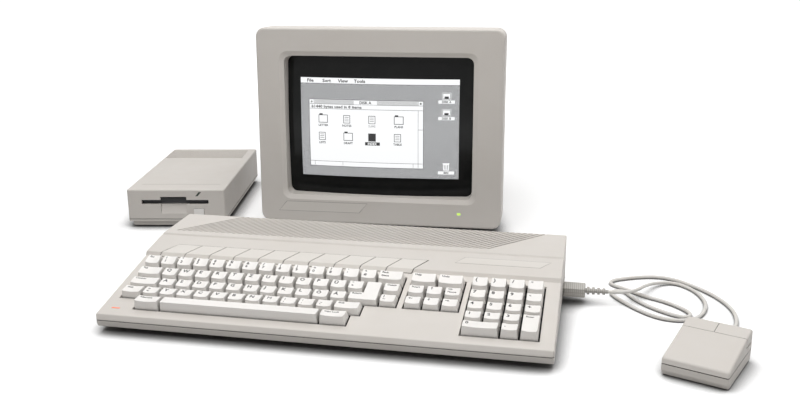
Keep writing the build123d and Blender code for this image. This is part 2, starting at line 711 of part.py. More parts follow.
def switch_places():
    """Stem positions of every key, in the deck's frame."""
    places = []
    for group, x, s, units, deep, row in key_cells():
        places += [(x + KEY_GAP / 2 + px, s + KEY_GAP / 2 + py) for px, py in stem_places(units, deep)]
    places.append((RETURN_AT[0] + return_stem()[0], RETURN_AT[1] + return_stem()[1]))
    places += [fkey_stem(index) for index in range(FKEY_COUNT)]
    return places


def key_switches():
    """Switch housings, each with a square guide for its stem."""
    half, hole = HOUSING / 2, STEM / 2 + FIT
    housing = block(-half, half, -half, half, PLATE_TOP, HOUSING_TOP)
    housing -= block(-hole, hole, -hole, hole, PLATE_TOP - 1, HOUSING_TOP + 1)
    return [housing.moved(DECK * Pos(x, s, 0)) for x, s in switch_places()]


def plate_edges():
    back = deck_point(0, BANK_Y + FKEY_D - 2, deck_z(BANK_Y + FKEY_D - 2))[1]
    return CASE_WALL + 1.5, CONSOLE_W - CASE_WALL - 1.5, KEYS_S - 2, back


def keyboard_frame():
    """Pressed steel plate that carries the switches."""
    x0, x1, s0, s1 = plate_edges()
    plate = block(x0, x1, s0, s1, PLATE_TOP - PLATE_T, PLATE_TOP)
    plate -= [rod(x, s, -20, 0, 1.2) for x, s in plate_posts()]
    return (plate.moved(DECK)) - boss_clearance()


def boss_clearance():
    """Room for the case's screw bosses."""
    return [rod(x, y, 0, 80, BOSS_R + 1) for x, y in CONSOLE_SCREWS]


def keyboard_circuit_board():
    """Keyboard board under the plate."""
    x0, x1, s0, s1 = plate_edges()
    top = PLATE_TOP - PLATE_T
    board = block(x0 + 3, x1 - 3, s0 + 1, s1 - 1, top - BOARD_T, top)
    board -= [rod(x, s, -20, 0, 1.2) for x, s in plate_posts()]
    return (board.moved(DECK)) - boss_clearance()


# ---------------------------------------------------------------- console inside
def mainboard():
    x0, x1, y0, y1 = MAINBOARD
    return block(x0, x1, y0, y1, MAINBOARD_Z, board_top()) - boss_clearance()


def board_chips():
    """Chips on the mainboard, the drive's logic board and the mouse's board."""
    x0, x1, y0, y1 = MAINBOARD
    chips = []
    for first, width, pitch, y, depth, count in CHIP_ROWS:
        for index in range(count):
            x = x0 + first + pitch * index
            chips.append(block(x, x + width, y0 + y, y0 + y + depth, board_top(), board_top() + CHIP_T))
    board, pitch = drive_board_top(), (DRIVE_W - 36) / 3
    for index in range(3):
        u = 30 + pitch * index
        chip = block(u, u + pitch - 8, DRIVE_BOARD_D + 24, DRIVE_BOARD_D + 38, board, board + CHIP_T)
        chips.append(chip.moved(DRIVE))
    return chips


def console_shield():
    """Folded steel screen over the mainboard's chips."""
    x0, x1, y0, y1 = MAINBOARD
    z0, z1 = board_top(), board_top() + SHIELD_H
    left, right, front, back = x0 + 24, x1 - 10, y0 + 3, y1 - 16
    outer = block(left, right, front, back, z0, z1)
    hollow = block(left + SHIELD_T, right - SHIELD_T, front + SHIELD_T, back - SHIELD_T,
                   z0 - 1, z1 - SHIELD_T)
    holes = [rod(left + 16 + 13 * column, front + 9 + 11 * row, z1 - 2, z1 + 1, 2.4)
             for column in range(28) for row in range(4)]
    return outer - hollow - holes - boss_clearance()


def socket_box(x, width, kind, share):
    """Rear socket on the board: body with a round or a square mouth, and its face plate."""
    y1 = CONSOLE_D + SOCKET_PROUD
    z0, z1 = board_top(), board_top() + SOCKET_H
    body = block(x - width / 2, x + width / 2, y1 - SOCKET_D, y1, z0, z1)
    body += block(*share, CONSOLE_D - CASE_WALL, CONSOLE_D - SHARE_SINK, z0, share_top())
    mid = (z0 + z1) / 2
    if kind == "round":
        body -= rod_y(x, y1 - SOCKET_BORE, y1 + 1, mid, SOCKET_H / 2 - 0.8)
        around = [math.radians(20 + 35 * index) for index in range(5)]
        return body + [rod_y(x + 3.4 * math.cos(a), y1 - SOCKET_BORE - 1, y1 - PIN_BACK,
                             mid + 3.4 * math.sin(a), 0.6) for a in around]
    edge = x - width / 2 + 7, x + width / 2 - 7
    body -= block(*edge, y1 - SOCKET_BORE, y1 + 1, mid - 4, mid + 4)
    return body + block(edge[0] + 2, edge[1] - 2, y1 - SOCKET_BORE - 1, y1 - PIN_BACK, mid - 2.2, mid + 2.2)


def console_sockets():
    """Rear sockets, the two side ports and the cartridge connector."""
    parts = [socket_box(*socket, share) for socket, share in zip(REAR_SOCKETS, rear_shares())]
    face = CONSOLE_W - PORT_INSET
    for y, share in zip(PORT_Y, port_shares()):
        body = block(face - PORT_D, face, *share, port_floor(), PORT_Z + PORT_H / 2)
        back = face - PORT_BORE
        body -= block(back, face + 1, y - 8.6, y + 8.6, PORT_Z - 4.3, PORT_Z + 4.3)
        pins = [rod_x(back - 1, back + 3.5, y - 5.5 + 2.75 * i, PORT_Z + 1.4, 0.5) for i in range(5)]
        pins += [rod_x(back - 1, back + 3.5, y - 4.1 + 2.75 * i, PORT_Z - 1.4, 0.5) for i in range(4)]
        parts.append(body + pins)
    parts.append(switch_frame(CASE_WALL).moved(console_switch_place()))
    parts.append(reset_guide())
    x0, half = MAINBOARD[0] + 10, CART_W / 2
    body = block(x0, x0 + 9, CART_Y - half + 4, CART_Y + half - 4, board_top(), CART_Z + 4)
    body -= block(x0 - 1, x0 + 6, CART_Y - half + 6, CART_Y + half - 6, CART_Z - 1.6, CART_Z + 1.6)
    parts.append(body)
    return parts


def lamp_block(gap, tall):
    """Space of the power light in the deck."""
    return block(LAMP_X - gap, LAMP_X + LAMP_W + gap, LAMP_S - gap, LAMP_S + LAMP_D + gap, -2 * CASE_WALL,
                 tall).moved(DECK)


def console_power_light():
    """Red light pipe, flush in the deck's front edge."""
    lens = block(LAMP_X, LAMP_X + LAMP_W, LAMP_S, LAMP_S + LAMP_D, -CASE_WALL - 0.5, 0.15)
    flange = block(LAMP_X - 1, LAMP_X + LAMP_W + 1, LAMP_S - 0.5, LAMP_S + LAMP_D + 1.5,
                   -CASE_WALL - 1.3, -CASE_WALL)
    return (lens + flange).moved(DECK)


def rocker_z():
    return board_top() + 3 + ROCKER_H / 2


def switch_window(wall):
    """Window in a wall for a rocker, about its pivot."""
    return block(-ROCKER_W / 2 - 0.5, ROCKER_W / 2 + 0.5, ROCKER_SINK - 2 * wall, ROCKER_SINK + 1,
                 -ROCKER_H / 2 - 0.5, ROCKER_H / 2 + 0.5)


def rocker(sink):
    """Rocker with its pivot along X at the origin and its face towards +Y."""
    half = (ROCKER_H - 1) / 2
    face = sink - 0.5
    wing = face + half * slope(ROCKER_ANGLE / 2)
    outline = [(face, 0.0), (wing, half), (0.5, half), (-2.5, 0.0), (0.5, -half), (wing, -half)]
    body = along_x(outline, [2.0, 0.6, 0.8, 1.5, 0.8, 0.6], -ROCKER_W / 2, ROCKER_W / 2)
    return body - rod_x(-ROCKER_W, ROCKER_W, 0, 0, ROCKER_PIN_R)


def switch_frame(wall):
    """Frame of a rocker about its pivot, its front against the inside of a wall."""
    front = ROCKER_SINK - wall
    width, height = ROCKER_W + 6, ROCKER_H + 6
    frame = block(-width / 2, width / 2, -7, front, -height / 2, height / 2)
    side, over = ROCKER_W / 2 + 0.3, ROCKER_H / 2 + 0.5
    frame -= block(-side, side, -5, front + 1, -over, over)
    return frame + rod_x(-side - 0.7, side + 0.7, 0, 0, ROCKER_PIN_R - SCREW_FIT)


def console_switch_place():
    return Pos(ROCKER_X, CONSOLE_D - ROCKER_SINK, rocker_z())


def rocker_rest():
    return Rot(-ROCKER_ANGLE / 2, 0, 0)


def console_power_switch():
    """Rocker of the console's power switch."""
    return rocker(ROCKER_SINK).moved(console_switch_place() * rocker_rest())


def reset_guide():
    """Switch body behind the reset button, on the mainboard."""
    z, back = reset_z(), CONSOLE_D - CASE_WALL - RESET_COLLAR
    body = block(RESET_X - 7, RESET_X + 7, back - 16, back - 6, board_top(), z + 7)
    return body - rod_y(RESET_X, back - 14, back - 5, z, RESET_STEM_R + FIT)


def reset_button():
    """Plunger of the reset button with its collar and stem."""
    z, collar = reset_z(), CONSOLE_D - CASE_WALL - 0.1
    back = collar - RESET_COLLAR
    button = rod_y(RESET_X, collar - 1, CONSOLE_D + RESET_PROUD, z, RESET_R)
    button += rod_y(RESET_X, back, collar, z, RESET_R + 1.2)
    return button + rod_y(RESET_X, back - 10, back, z, RESET_STEM_R)


# ---------------------------------------------------------------- monitor, in its own leaning frame
MONITOR_BASE = Location((MONITOR_AT[0], MONITOR_AT[1], 0), (0, 0, MONITOR_YAW))
MONITOR = MONITOR_BASE * Location((0, 0, MONITOR_AT[2]), (-MONITOR_LEAN, 0, 0))


def inset_rect(inset, depth, radius):
    """Rounded rectangle in from the bezel's outline."""
    return frame_rect(inset, BEZEL_W - inset, inset, BEZEL_H - inset, depth, radius)


def back_edges(inset=0.0):
    """Edges of the housing's back."""
    width, height = HOUSING_BACK
    middle = BEZEL_W / 2
    return (middle - width / 2 + inset, middle + width / 2 - inset, HOUSING_RISE + inset,
            HOUSING_RISE + height - inset)


def bezel_form():
    """Outer form of the bezel."""
    form = extrude(inset_rect(0, 0, BEZEL_R), BEZEL_D)
    front = form.faces().sort_by(Axis.Y)[0]
    return fillet(front.edges(), BEZEL_EDGE_R)


def recess(wall):
    """Space of the screen recess, grown by a wall."""
    u0, u1, w0, w1 = OPENING
    grown = RECESS_IN - wall
    mouth = frame_rect(u0 - wall, u1 + wall, w0 - wall, w1 + wall, 0, OPENING_R)
    inner = frame_rect(u0 + grown, u1 - grown, w0 + grown, w1 - grown, RECESS_D, OPENING_R)
    return loft([mouth, inner])


def tube_edges(over=0.0):
    """Rectangle of the tube's panel behind the recess."""
    u0, u1, w0, w1 = OPENING
    out = TUBE_OVER - RECESS_IN + over
    return u0 - out, u1 + out, w0 - out, w1 + out


def tube_middle():
    u0, u1, w0, w1 = OPENING
    return (u0 + u1) / 2, (w0 + w1) / 2


def tube_ball(gap):
    """Ball that the glass's front is part of, grown by a gap."""
    mid_u, mid_w = tube_middle()
    return Pos(mid_u, TUBE_FRONT + TUBE_BULGE_R, mid_w) * Sphere(TUBE_BULGE_R + gap)


def tube_posts():
    """Places of the four posts that the tube's band is screwed to."""
    u0, u1, w0, w1 = tube_edges()
    return [(u, w) for u in (u0 - LUG_OUT, u1 + LUG_OUT) for w in (w0 + LUG_IN, w1 - LUG_IN)]


def monitor_bezel():
    """Front frame with its screen recess, dished face and posts for the tube."""
    u0, u1, w0, w1 = OPENING
    wall = BEZEL_WALL
    hollow = extrude(inset_rect(wall, wall, BEZEL_R - wall), BEZEL_D)
    funnel = (recess(wall) & bezel_form()) - tube_ball(TUBE_GAP)
    frame = bezel_form() - hollow + funnel - recess(0)
    rim = frame_rect(u0 - DISH_W, u1 + DISH_W, w0 - DISH_W, w1 + DISH_W, 0, OPENING_R + DISH_W / 2)
    frame -= loft([rim, frame_rect(u0, u1, w0, w1, DISH_D, OPENING_R)])
    frame += [rod_y(u, wall / 2, LUG_D, w, LUG_R) for u, w in tube_posts()]
    frame -= [rod_y(u, LUG_D - 9, LUG_D + 1, w, SCREW_R + SCREW_FIT) for u, w in tube_posts()]
    return frame - monitor_lamp(FIT / 2)


def monitor_lamp(gap):
    """Green light pipe through the bezel."""
    u, w = LAMP_AT
    return block(u - 2.4 - gap, u + 2.4 + gap, -1 if gap else 0, BEZEL_WALL + (1 if gap else 0),
                 w - 1.4 - gap, w + 1.4 + gap)


def monitor_power_light():
    """Green light pipe with its flange behind the bezel."""
    u, w = LAMP_AT
    return monitor_lamp(0) + block(u - 4, u + 4, BEZEL_WALL, BEZEL_WALL + 3, w - 3, w + 3)


def housing_form(inset):
    """Skirt and tapering back of the rear housing."""
    out = HOUSING_STEP + inset
    ring = extrude(inset_rect(out, BEZEL_D, HOUSING_R), HOUSING_SKIRT - BEZEL_D)
    far = frame_rect(*back_edges(inset), HOUSING_END - inset, HOUSING_R)
    return ring + loft([inset_rect(out, HOUSING_SKIRT, HOUSING_R), far])


def wheel_places():
    """Centres of the two thumbwheels at the housing's right side."""
    u = BEZEL_W - HOUSING_STEP - WHEEL_R + WHEEL_PROUD
    d = (BEZEL_D + HOUSING_SKIRT) / 2
    return [(u, d, WHEEL_Z), (u, d, WHEEL_Z + WHEEL_APART)]


def monitor_switch_place():
    """Pivot of the rocker in the back."""
    return Pos(back_edges()[0] + 30, HOUSING_END - ROCKER_SINK, back_edges()[2] + 30)


def back_sockets():
    """Mains inlet and signal socket in the back: left, right, bottom, top edges."""
    left, base = back_edges()[0], back_edges()[2] + 20
    return [(left + near, left + far, base, base + height) for near, far, height in BACK_SOCKETS]


def housing_vents():
    """Cooling slots in the top and the sides of the housing."""
    cuts = []
    first = BEZEL_W / 2 - (SLOT_N - 1) * SLOT_PITCH / 2
    for index in range(SLOT_N):
        u = first + index * SLOT_PITCH
        for d in SLOT_ROWS:
            cuts.append(block(u - SLOT_W / 2, u + SLOT_W / 2, d, d + SLOT_L, BEZEL_H / 2, BEZEL_H))
    for index in range(SLOT_N // 2):
        d = SLOT_ROWS[0] + index * SLOT_PITCH
        cuts.append(block(-1, BEZEL_W + 1, d, d + SLOT_W, WHEEL_Z + 46, WHEEL_Z + 46 + SLOT_L))
    return cuts


def monitor_rear_housing():
    """Rear shell with vents, board posts, wheel ribs and openings."""
    wall = BEZEL_WALL
    inside = housing_form(wall)
    shell = housing_form(0) - inside
    shell -= extrude(inset_rect(HOUSING_STEP + wall, BEZEL_D - 1, HOUSING_R), 3)
    flange = extrude(inset_rect(wall, BEZEL_D, BEZEL_R - wall), wall)
    shell += flange - extrude(inset_rect(HOUSING_STEP + wall, BEZEL_D - 1, HOUSING_R), 6)
    shell += [rod(u, d, 0, CHASSIS_W, 4.0) & inside for u, d in chassis_posts()]
    for u, d, w in wheel_places():
        for side in (-1, 1):
            middle = w + side * (WHEEL_T / 2 + 0.4 + wall / 2)
            low, high = middle - wall / 2, middle + wall / 2
            shell += block(u - 6, BEZEL_W - HOUSING_STEP - 1, d - 6, d + 6, low, high)
        shell -= rod(u, d, w - 12, w + 12, SPINDLE_R + SCREW_FIT)
        side, thick = WHEEL_R + 0.6, WHEEL_T / 2 + 0.4
        shell -= block(u, BEZEL_W, d - side, d + side, w - thick, w + thick)
    shell -= switch_window(BEZEL_WALL).moved(monitor_switch_place())
    for u0, u1, w0, w1 in back_sockets():
        shell -= block(u0 - FIT, u1 + FIT, HOUSING_END - 6, HOUSING_END + 1, w0 - FIT, w1 + FIT)
    return shell - housing_vents()


def thumbwheel(place):
    """Ribbed thumbwheel on its upright spindle."""
    u, d, w = place
    wheel = rod(u, d, w - WHEEL_T / 2, w + WHEEL_T / 2, WHEEL_R)
    around = [math.radians(360 / WHEEL_RIBS * index) for index in range(WHEEL_RIBS)]
    wheel -= [rod(u + WHEEL_R * math.cos(a), d + WHEEL_R * math.sin(a), w - WHEEL_T, w + WHEEL_T, 0.5)
              for a in around]
    reach = WHEEL_T / 2 + 0.4 + BEZEL_WALL
    return wheel + rod(u, d, w - reach, w + reach, SPINDLE_R)


def foot_pads():
    """Centres of the plinth's pads."""
    middle = BEZEL_W / 2
    return [(u, d) for u in (middle - FOOT_W / 2 + PAD_IN, middle + FOOT_W / 2 - PAD_IN)
            for d in (FOOT_D[0] + PAD_IN, FOOT_D[1] - PAD_IN)]


def carried_form():
    """Underside of the leaning monitor that the plinth fits."""
    return housing_form(0) + extrude(inset_rect(0, 0, BEZEL_R), BEZEL_D + BEZEL_WALL)


def monitor_foot():
    """Hollow plinth under the monitor, shaped to the housing it carries, with a boss at each pad."""
    wall, high = BEZEL_WALL, 60
    left, right = BEZEL_W / 2 - FOOT_W / 2, BEZEL_W / 2 + FOOT_W / 2
    foot = slab(left, right, FOOT_D[0], FOOT_D[1], PAD_H, high, 12)
    cavity = slab(left + wall, right - wall, FOOT_D[0] + wall, FOOT_D[1] - wall, PAD_H - 1, high + 1,
                  12 - wall)
    lean = Location((0, 0, MONITOR_AT[2]), (-MONITOR_LEAN, 0, 0))
    body = carried_form().moved(lean)
    cavity -= body.moved(Pos(0, 0, -wall))
    cavity -= [rod(u, d, 0, high, FOOT_R + 1) for u, d in foot_pads()]
    return foot - cavity - body


def tube_panel(inset, front):
    """Form of the tube's front panel, taken in by a wall and set back from the glass's front."""
    outline = frame_rect(*tube_edges(-inset), 0, TUBE_CORNER_R - inset)
    return extrude(outline, TUBE_RIM + inset) & tube_ball(-front)


def tube_funnel(inset):
    """Form of the funnel and the neck, taken in by a wall."""
    mid_u, mid_w = tube_middle()
    u0, u1, w0, w1 = tube_edges(-TUBE_STEP - inset)

    def section(half_u, half_w, depth, radius):
        half_u, half_w = half_u - inset, half_w - inset
        edges = (mid_u - half_u, mid_u + half_u, mid_w - half_w, mid_w + half_w)
        return frame_rect(*edges, depth, radius - inset)

    rim = frame_rect(u0, u1, w0, w1, TUBE_RIM, TUBE_CORNER_R - inset)
    waist = section(66, 54, (TUBE_RIM + FUNNEL_END) / 2, 44.0)
    throat = section(18, 18, FUNNEL_END - inset, 17.0)
    form = loft([rim, waist], ruled=True) + loft([waist, throat], ruled=True)
    return form + rod_y(mid_u, FUNNEL_END - inset - 1, NECK_END - inset, mid_w, NECK_R - inset)


def picture_tube():
    """Glass tube in its two pressings: bulged front panel, and funnel with the neck."""
    panel = tube_panel(0, 0) - tube_panel(GLASS_PANEL, GLASS_PANEL)
    return [panel, tube_funnel(0) - tube_funnel(GLASS_FUNNEL)]


def tube_band():
    """Steel band round the tube with a lug at each corner."""
    u0, u1, w0, w1 = tube_edges()
    band = extrude(frame_rect(*tube_edges(BAND_T), LUG_D, TUBE_CORNER_R + BAND_T), BAND_W)
    for u, w in tube_posts():
        near = u0 + 4 if u < u0 else u1 - 4
        band += block(min(u - LUG_R, near), max(u + LUG_R, near), LUG_D, LUG_D + 2, w - LUG_R, w + LUG_R)
    band -= extrude(frame_rect(u0, u1, w0, w1, LUG_D - 30, TUBE_CORNER_R), BAND_W + 60)
    return band - [rod_y(u, LUG_D - 1, LUG_D + 3, w, SCREW_R + SCREW_FIT) for u, w in tube_posts()]


def deflection_yoke():
    """Deflection coils round the tube's neck."""
    mid_u, mid_w = tube_middle()
    coil = rod_y(mid_u, FUNNEL_END, FUNNEL_END + COIL_L, mid_w, COIL_R)
    coil += rod_y(mid_u, FUNNEL_END + COIL_L, FUNNEL_END + COIL_L + CLAMP_L, mid_w, CLAMP_R)
    return coil - rod_y(mid_u, FUNNEL_END - 1, NECK_END, mid_w, NECK_R + FIT)


def chassis_edges():
    middle, half = BEZEL_W / 2, CHASSIS_SIZE / 2
    return middle - half, middle + half, CHASSIS_D, CHASSIS_D + CHASSIS_SIZE * 0.85


def chassis_posts():
    u0, u1, d0, d1 = chassis_edges()
    return [(u, d) for u in (u0 + 8, u1 - 8) for d in (d0 + 8, d1 - 8)]


def monitor_circuit_boards():
    """Chassis board on its posts and the board on the tube's neck."""
    mid_u, mid_w = tube_middle()
    u0, u1, d0, d1 = chassis_edges()
    neck = block(mid_u - 26, mid_u + 26, NECK_END - 8, NECK_END - 8 + BOARD_T, mid_w - 26, mid_w + 26)
    neck -= rod_y(mid_u, NECK_END - 10, NECK_END + 4, mid_w, NECK_R + FIT)
    return [block(u0, u1, d0, d1, CHASSIS_W, CHASSIS_W + BOARD_T), neck]


def flyback_transformer():
    """Line output transformer on the chassis board: wound column with its ferrite core."""
    base, reach, half = CHASSIS_W + BOARD_T, 30.0, 6.0
    u, d = chassis_edges()[1] - reach, CHASSIS_D + 70
    core = block(u - reach, u, d - half, d + half, base, base + 8)
    core += block(u - reach, u - reach + 2 * half, d - half, d + half, base, base + 46)
    core += block(u - reach, u, d - half, d + half, base + 38, base + 46)
    return core + rod(u, d, base, base + 54, 14.0)


def loudspeaker():
    """Small loudspeaker standing on the chassis board."""
    base = CHASSIS_W + BOARD_T
    u, d = chassis_edges()[0] + 4, CHASSIS_D + 50
    cone = rod_x(u, u + 8, d, base + 32, 30.0) + rod_x(u + 8, u + 20, d, base + 32, 14.0)
    return cone + block(u, u + 8, d - 18, d + 18, base, base + 12)


def monitor_power_switch():
    """Rocker in the back of the monitor."""
    return rocker(ROCKER_SINK).moved(monitor_switch_place() * rocker_rest())


# ---------------------------------------------------------------- disk drive, in its own frame
DRIVE = Location(DRIVE_AT, (0, 0, DRIVE_YAW))


def drive_form():
    """Outer form of the drive above its plinth."""
    form = slab(0, DRIVE_W, 0, DRIVE_D, PLINTH_Z[1], DRIVE_H, DRIVE_R)
    return fillet(form.faces().sort_by(Axis.Z)[-1].edges(), DRIVE_EDGE_R)


def drive_hollow():
    wall = DRIVE_WALL
    return block(wall, DRIVE_W - wall, wall, DRIVE_D - wall, PLINTH_Z[1] + wall - 4, DRIVE_H - wall)


def drive_rear_sockets():
    """Sockets in the drive's back: left and right edges."""
    return DRIVE_SOCKETS


def drive_openings():
    """Disk slot, thumb notch, ramp, button hole, lamp and rear openings."""
    u0, u1, z0, z1 = SLOT
    n0, n1, top = NOTCH
    deep = DRIVE_WALL + 1
    cuts = [block(u0, u1, -1, deep, z0, z1), block(n0, n1, -1, deep, z1 - 1, top)]
    e0, e1, f0, f1 = EJECT
    cuts.append(block(e0 - 0.3, e1 + 0.3, -1, deep, f0 - 0.3, f1 + 0.3))
    cuts.append(drive_lamp_bar(FIT))
    for s0, s1 in drive_rear_sockets():
        cuts.append(block(s0 - FIT, s1 + FIT, DRIVE_D - 5, DRIVE_D + 1, drive_board_top() - FIT,
                          drive_board_top() + SOCKET_H + FIT))
    cuts.append(switch_window(DRIVE_WALL).moved(drive_switch_place()))
    return cuts


def drive_switch_place():
    """Pivot of the rocker in the back."""
    return Pos(DRIVE_W - 26.0, DRIVE_D - ROCKER_SINK, drive_board_top() + ROCKER_H / 2 + 4)


def drive_board_top():
    return DRIVE_SPLIT + BOARD_T


def drive_lamp_bar(gap):
    """Slanted bar of the activity light."""
    u0, z0, u1, z1 = DRIVE_LAMP
    half = DRIVE_LAMP_W / 2 + gap
    corners = [(u0 - half, z0 - gap), (u0 + half, z0 - gap), (u1 + half, z1 + gap), (u1 - half, z1 + gap)]
    outline = Plane.XZ.offset(-DRIVE_WALL - 1) * make_face(Polyline(*corners, close=True))
    return extrude(outline, DRIVE_WALL + 1 + (1 if gap else 0))


def ramp_cut():
    """Finger ramp below the slot: deep at the slot, running out downwards."""
    r0, r1, low = RAMP
    z = SLOT[2] + 0.8
    outline = make_face(Polyline((-1, low), (0, low), (RAMP_DEPTH, z), (-1, z), close=True))
    return extrude(Plane.YZ.offset(r0) * outline, r1 - r0)


def ramp_wall():
    """Wall behind the finger ramp."""
    r0, r1, low = RAMP
    z, wall = SLOT[2], DRIVE_WALL
    outline = make_face(Polyline((wall / 2, low - wall), (RAMP_DEPTH + wall, z), (wall / 2, z), close=True))
    return extrude(Plane.YZ.offset(r0 - wall) * outline, r1 - r0 + 2 * wall)


def drive_top_cover():
    """Cover with the front panel, the finger ramp and the ribbed rear panel."""
    cover = drive_form() - drive_hollow()
    cover += ramp_wall()
    cover -= block(-1, DRIVE_W + 1, -1, DRIVE_D + 1, 0, DRIVE_SPLIT)
    cover -= ramp_cut()
    cover -= drive_openings()
    start, pitch = DRIVE_GRILLE
    grooves = [start + pitch * index for index in range(int((DRIVE_D - start - 4) / pitch))]
    cover -= [block(DRIVE_R, DRIVE_W - 12, d, d + pitch / 2, DRIVE_H - 1.4, DRIVE_H + 1) for d in grooves]
    cover += flap_bearings()
    for u, d in drive_screws():
        cover += rod(u, d, DRIVE_SPLIT, DRIVE_H - 1, BOSS_R)
        cover -= rod(u, d, DRIVE_SPLIT - 1, DRIVE_SPLIT + 6, SCREW_R + SCREW_FIT)
    return cover


def drive_screws():
    return [(8.5, 24.0), (DRIVE_W - 8.5, 24.0), (8.5, DRIVE_D - 30), (DRIVE_W - 8.5, DRIVE_D - 30)]


def drive_base():
    """Base pan with its recessed plinth."""
    wall = DRIVE_WALL
    rim = slab(0, DRIVE_W, 0, DRIVE_D, PLINTH_Z[1], DRIVE_SPLIT, DRIVE_R)
    inset = PLINTH_IN
    base = rim + slab(inset, DRIVE_W - inset, inset, DRIVE_D - inset, PLINTH_Z[0], PLINTH_Z[1], DRIVE_R)
    inner = inset + wall
    base -= slab(inner, DRIVE_W - inner, inner, DRIVE_D - inner, PLINTH_Z[0] + wall, 40, 2.0)
    base -= slab(-1, DRIVE_W + 1, -1, DRIVE_D + 1, DRIVE_SPLIT - SEAM_H, DRIVE_SPLIT, 1) \
        - slab(SEAM_DEPTH, DRIVE_W - SEAM_DEPTH, SEAM_DEPTH, DRIVE_D - SEAM_DEPTH, 0, 40, DRIVE_R)
    floor = PLINTH_Z[0] + wall
    for u, d in drive_screws():
        base += rod(u, d, PLINTH_Z[0], DRIVE_SPLIT, BOSS_R)
        base -= rod(u, d, PLINTH_Z[0] - 1, PLINTH_Z[0] + 3.2, SCREW_HEAD_R + 0.4)
        base -= rod(u, d, PLINTH_Z[0], DRIVE_SPLIT + 1, SCREW_R + SCREW_FIT)
    u0, u1, d0, d1 = MECH
    posts = [(u0 + 6, d0 + 12), (u1 - 6, d0 + 12), (u0 + 6, d1 - 6), (u1 - 6, d1 - 6)]
    base += [rod(u, d, floor, MECH_LOW, 3.5) for u, d in posts]
    base += [rod(u, d, floor, DRIVE_SPLIT, 3.0) for u, d in drive_board_posts()]
    return base


def drive_board_posts():
    return [(u, d) for u in (24.0, DRIVE_W - 24.0) for d in (DRIVE_BOARD_D + 8.0, DRIVE_D - 14.0)]


def drive_logic_board():
    """Board behind the mechanism, carrying the rear sockets."""
    board = block(14, DRIVE_W - 14, DRIVE_BOARD_D, DRIVE_D - DRIVE_WALL - 1, DRIVE_SPLIT, drive_board_top())
    return board - [rod(u, d, 0, 40, BOSS_R + 1) for u, d in drive_screws()]


def drive_mechanism_frame():
    """Chassis of the mechanism: tray with side walls, disk guides and a hub bearing."""
    u0, u1, d0, d1 = MECH
    z0, z1 = MECH_LOW, MECH_HIGH
    frame = block(u0, u1, d0, d1, z0, z0 + MECH_T)
    frame += block(u0, u0 + MECH_T, d0, d1, z0, z1) + block(u1 - MECH_T, u1, d0, d1, z0, z1)
    frame += block(u0, u1, d1 - MECH_T, d1, z0, z1)
    for side in (u0 + MECH_T, u1 - MECH_T - GUIDE_W):
        for z in (SLOT[2] - 1.2, SLOT[3] + 0.2):
            frame += block(side, side + GUIDE_W, d0 + 8, d1 - 20, z, z + 1.0)
    frame += rod(HUB_U, HUB_D, z0, HUB_Z - 2, 8.0)
    frame -= rod(HUB_U, HUB_D, z0 - 1, HUB_Z, 2.0 + SCREW_FIT)
    frame += [rod_y(HUB_U + side * RAIL_OUT, HUB_D + 20, d1 - 1, RAIL_Z, 1.5) for side in (-1, 1)]
    frame += block(HUB_U - RAIL_OUT - 3, HUB_U + RAIL_OUT + 3, HUB_D + 18, HUB_D + 21, z0, RAIL_Z + 2)
    e0, e1, f0, f1 = EJECT
    channel = block(e0 - 2, e1 + 2, d0, d0 + 12, z0, f1 + 2)
    channel -= block(e0 - 0.3, e1 + 0.3, d0 - 1, d0 + 14, f0 - 0.3, f1 + 0.3)
    return frame + channel


def spindle_hub():
    """Spindle with the magnetic hub that grips the disk."""
    return (rod(HUB_U, HUB_D, MECH_LOW + 1, HUB_Z, 2.0) + rod(HUB_U, HUB_D, HUB_Z - 1.8, HUB_Z, HUB_R)
            + rod(HUB_U, HUB_D, HUB_Z, HUB_Z + 1.2, 2.0) + rod(HUB_U + 9, HUB_D, HUB_Z, HUB_Z + 0.8, 1.2))


def head_carriage():
    """Head carriage on its two rails."""
    y0, y1 = HUB_D + 30, HUB_D + 50
    body = block(HUB_U - RAIL_OUT - 4, HUB_U + RAIL_OUT + 4, y0, y1, RAIL_Z - 3.2, RAIL_Z + 3.2)
    body -= [rod_y(HUB_U + side * RAIL_OUT, y0 - 1, y1 + 1, RAIL_Z, 1.5 + SCREW_FIT) for side in (-1, 1)]
    return body + block(HUB_U - 5, HUB_U + 5, y0 - 8, y0 + 4, RAIL_Z + 2, SLOT[2] - 0.4)


def eject_button():
    """Eject button with its push rod."""
    e0, e1, f0, f1 = EJECT
    return block(e0, e1, -EJECT_PROUD, MECH[2] + 6, f0, f1)


def drive_activity_light():
    """Slanted light bar in the front panel."""
    return drive_lamp_bar(0)


def dust_flap():
    """Flap behind the disk slot, hung from a pin at its top."""
    u0, u1, z0, z1 = SLOT
    flap = block(u0 + 0.4, u1 - 0.4, FLAP_D, FLAP_D + FLAP_T, z0 + 0.4, FLAP_Z)
    return flap + rod_x(u0 - 1.6, u1 + 1.6, FLAP_D + FLAP_T / 2, FLAP_Z, FLAP_PIN_R)


def flap_bearings():
    """Lugs of the front panel that hold the flap's pin."""
    u0, u1, z0, z1 = SLOT
    d = FLAP_D + FLAP_T / 2
    lugs = []
    for near, far in ((u0 - 2.4, u0 - 0.4), (u1 + 0.4, u1 + 2.4)):
        lug = block(near, far, DRIVE_WALL - 0.4, d + 2.2, FLAP_Z - 2, FLAP_Z + 2)
        lugs.append(lug - rod_x(near - 1, far + 1, d, FLAP_Z, FLAP_PIN_R + SCREW_FIT))
    return lugs


def drive_power_switch():
    """Rocker in the back of the drive."""
    return rocker(ROCKER_SINK).moved(drive_switch_place() * rocker_rest())


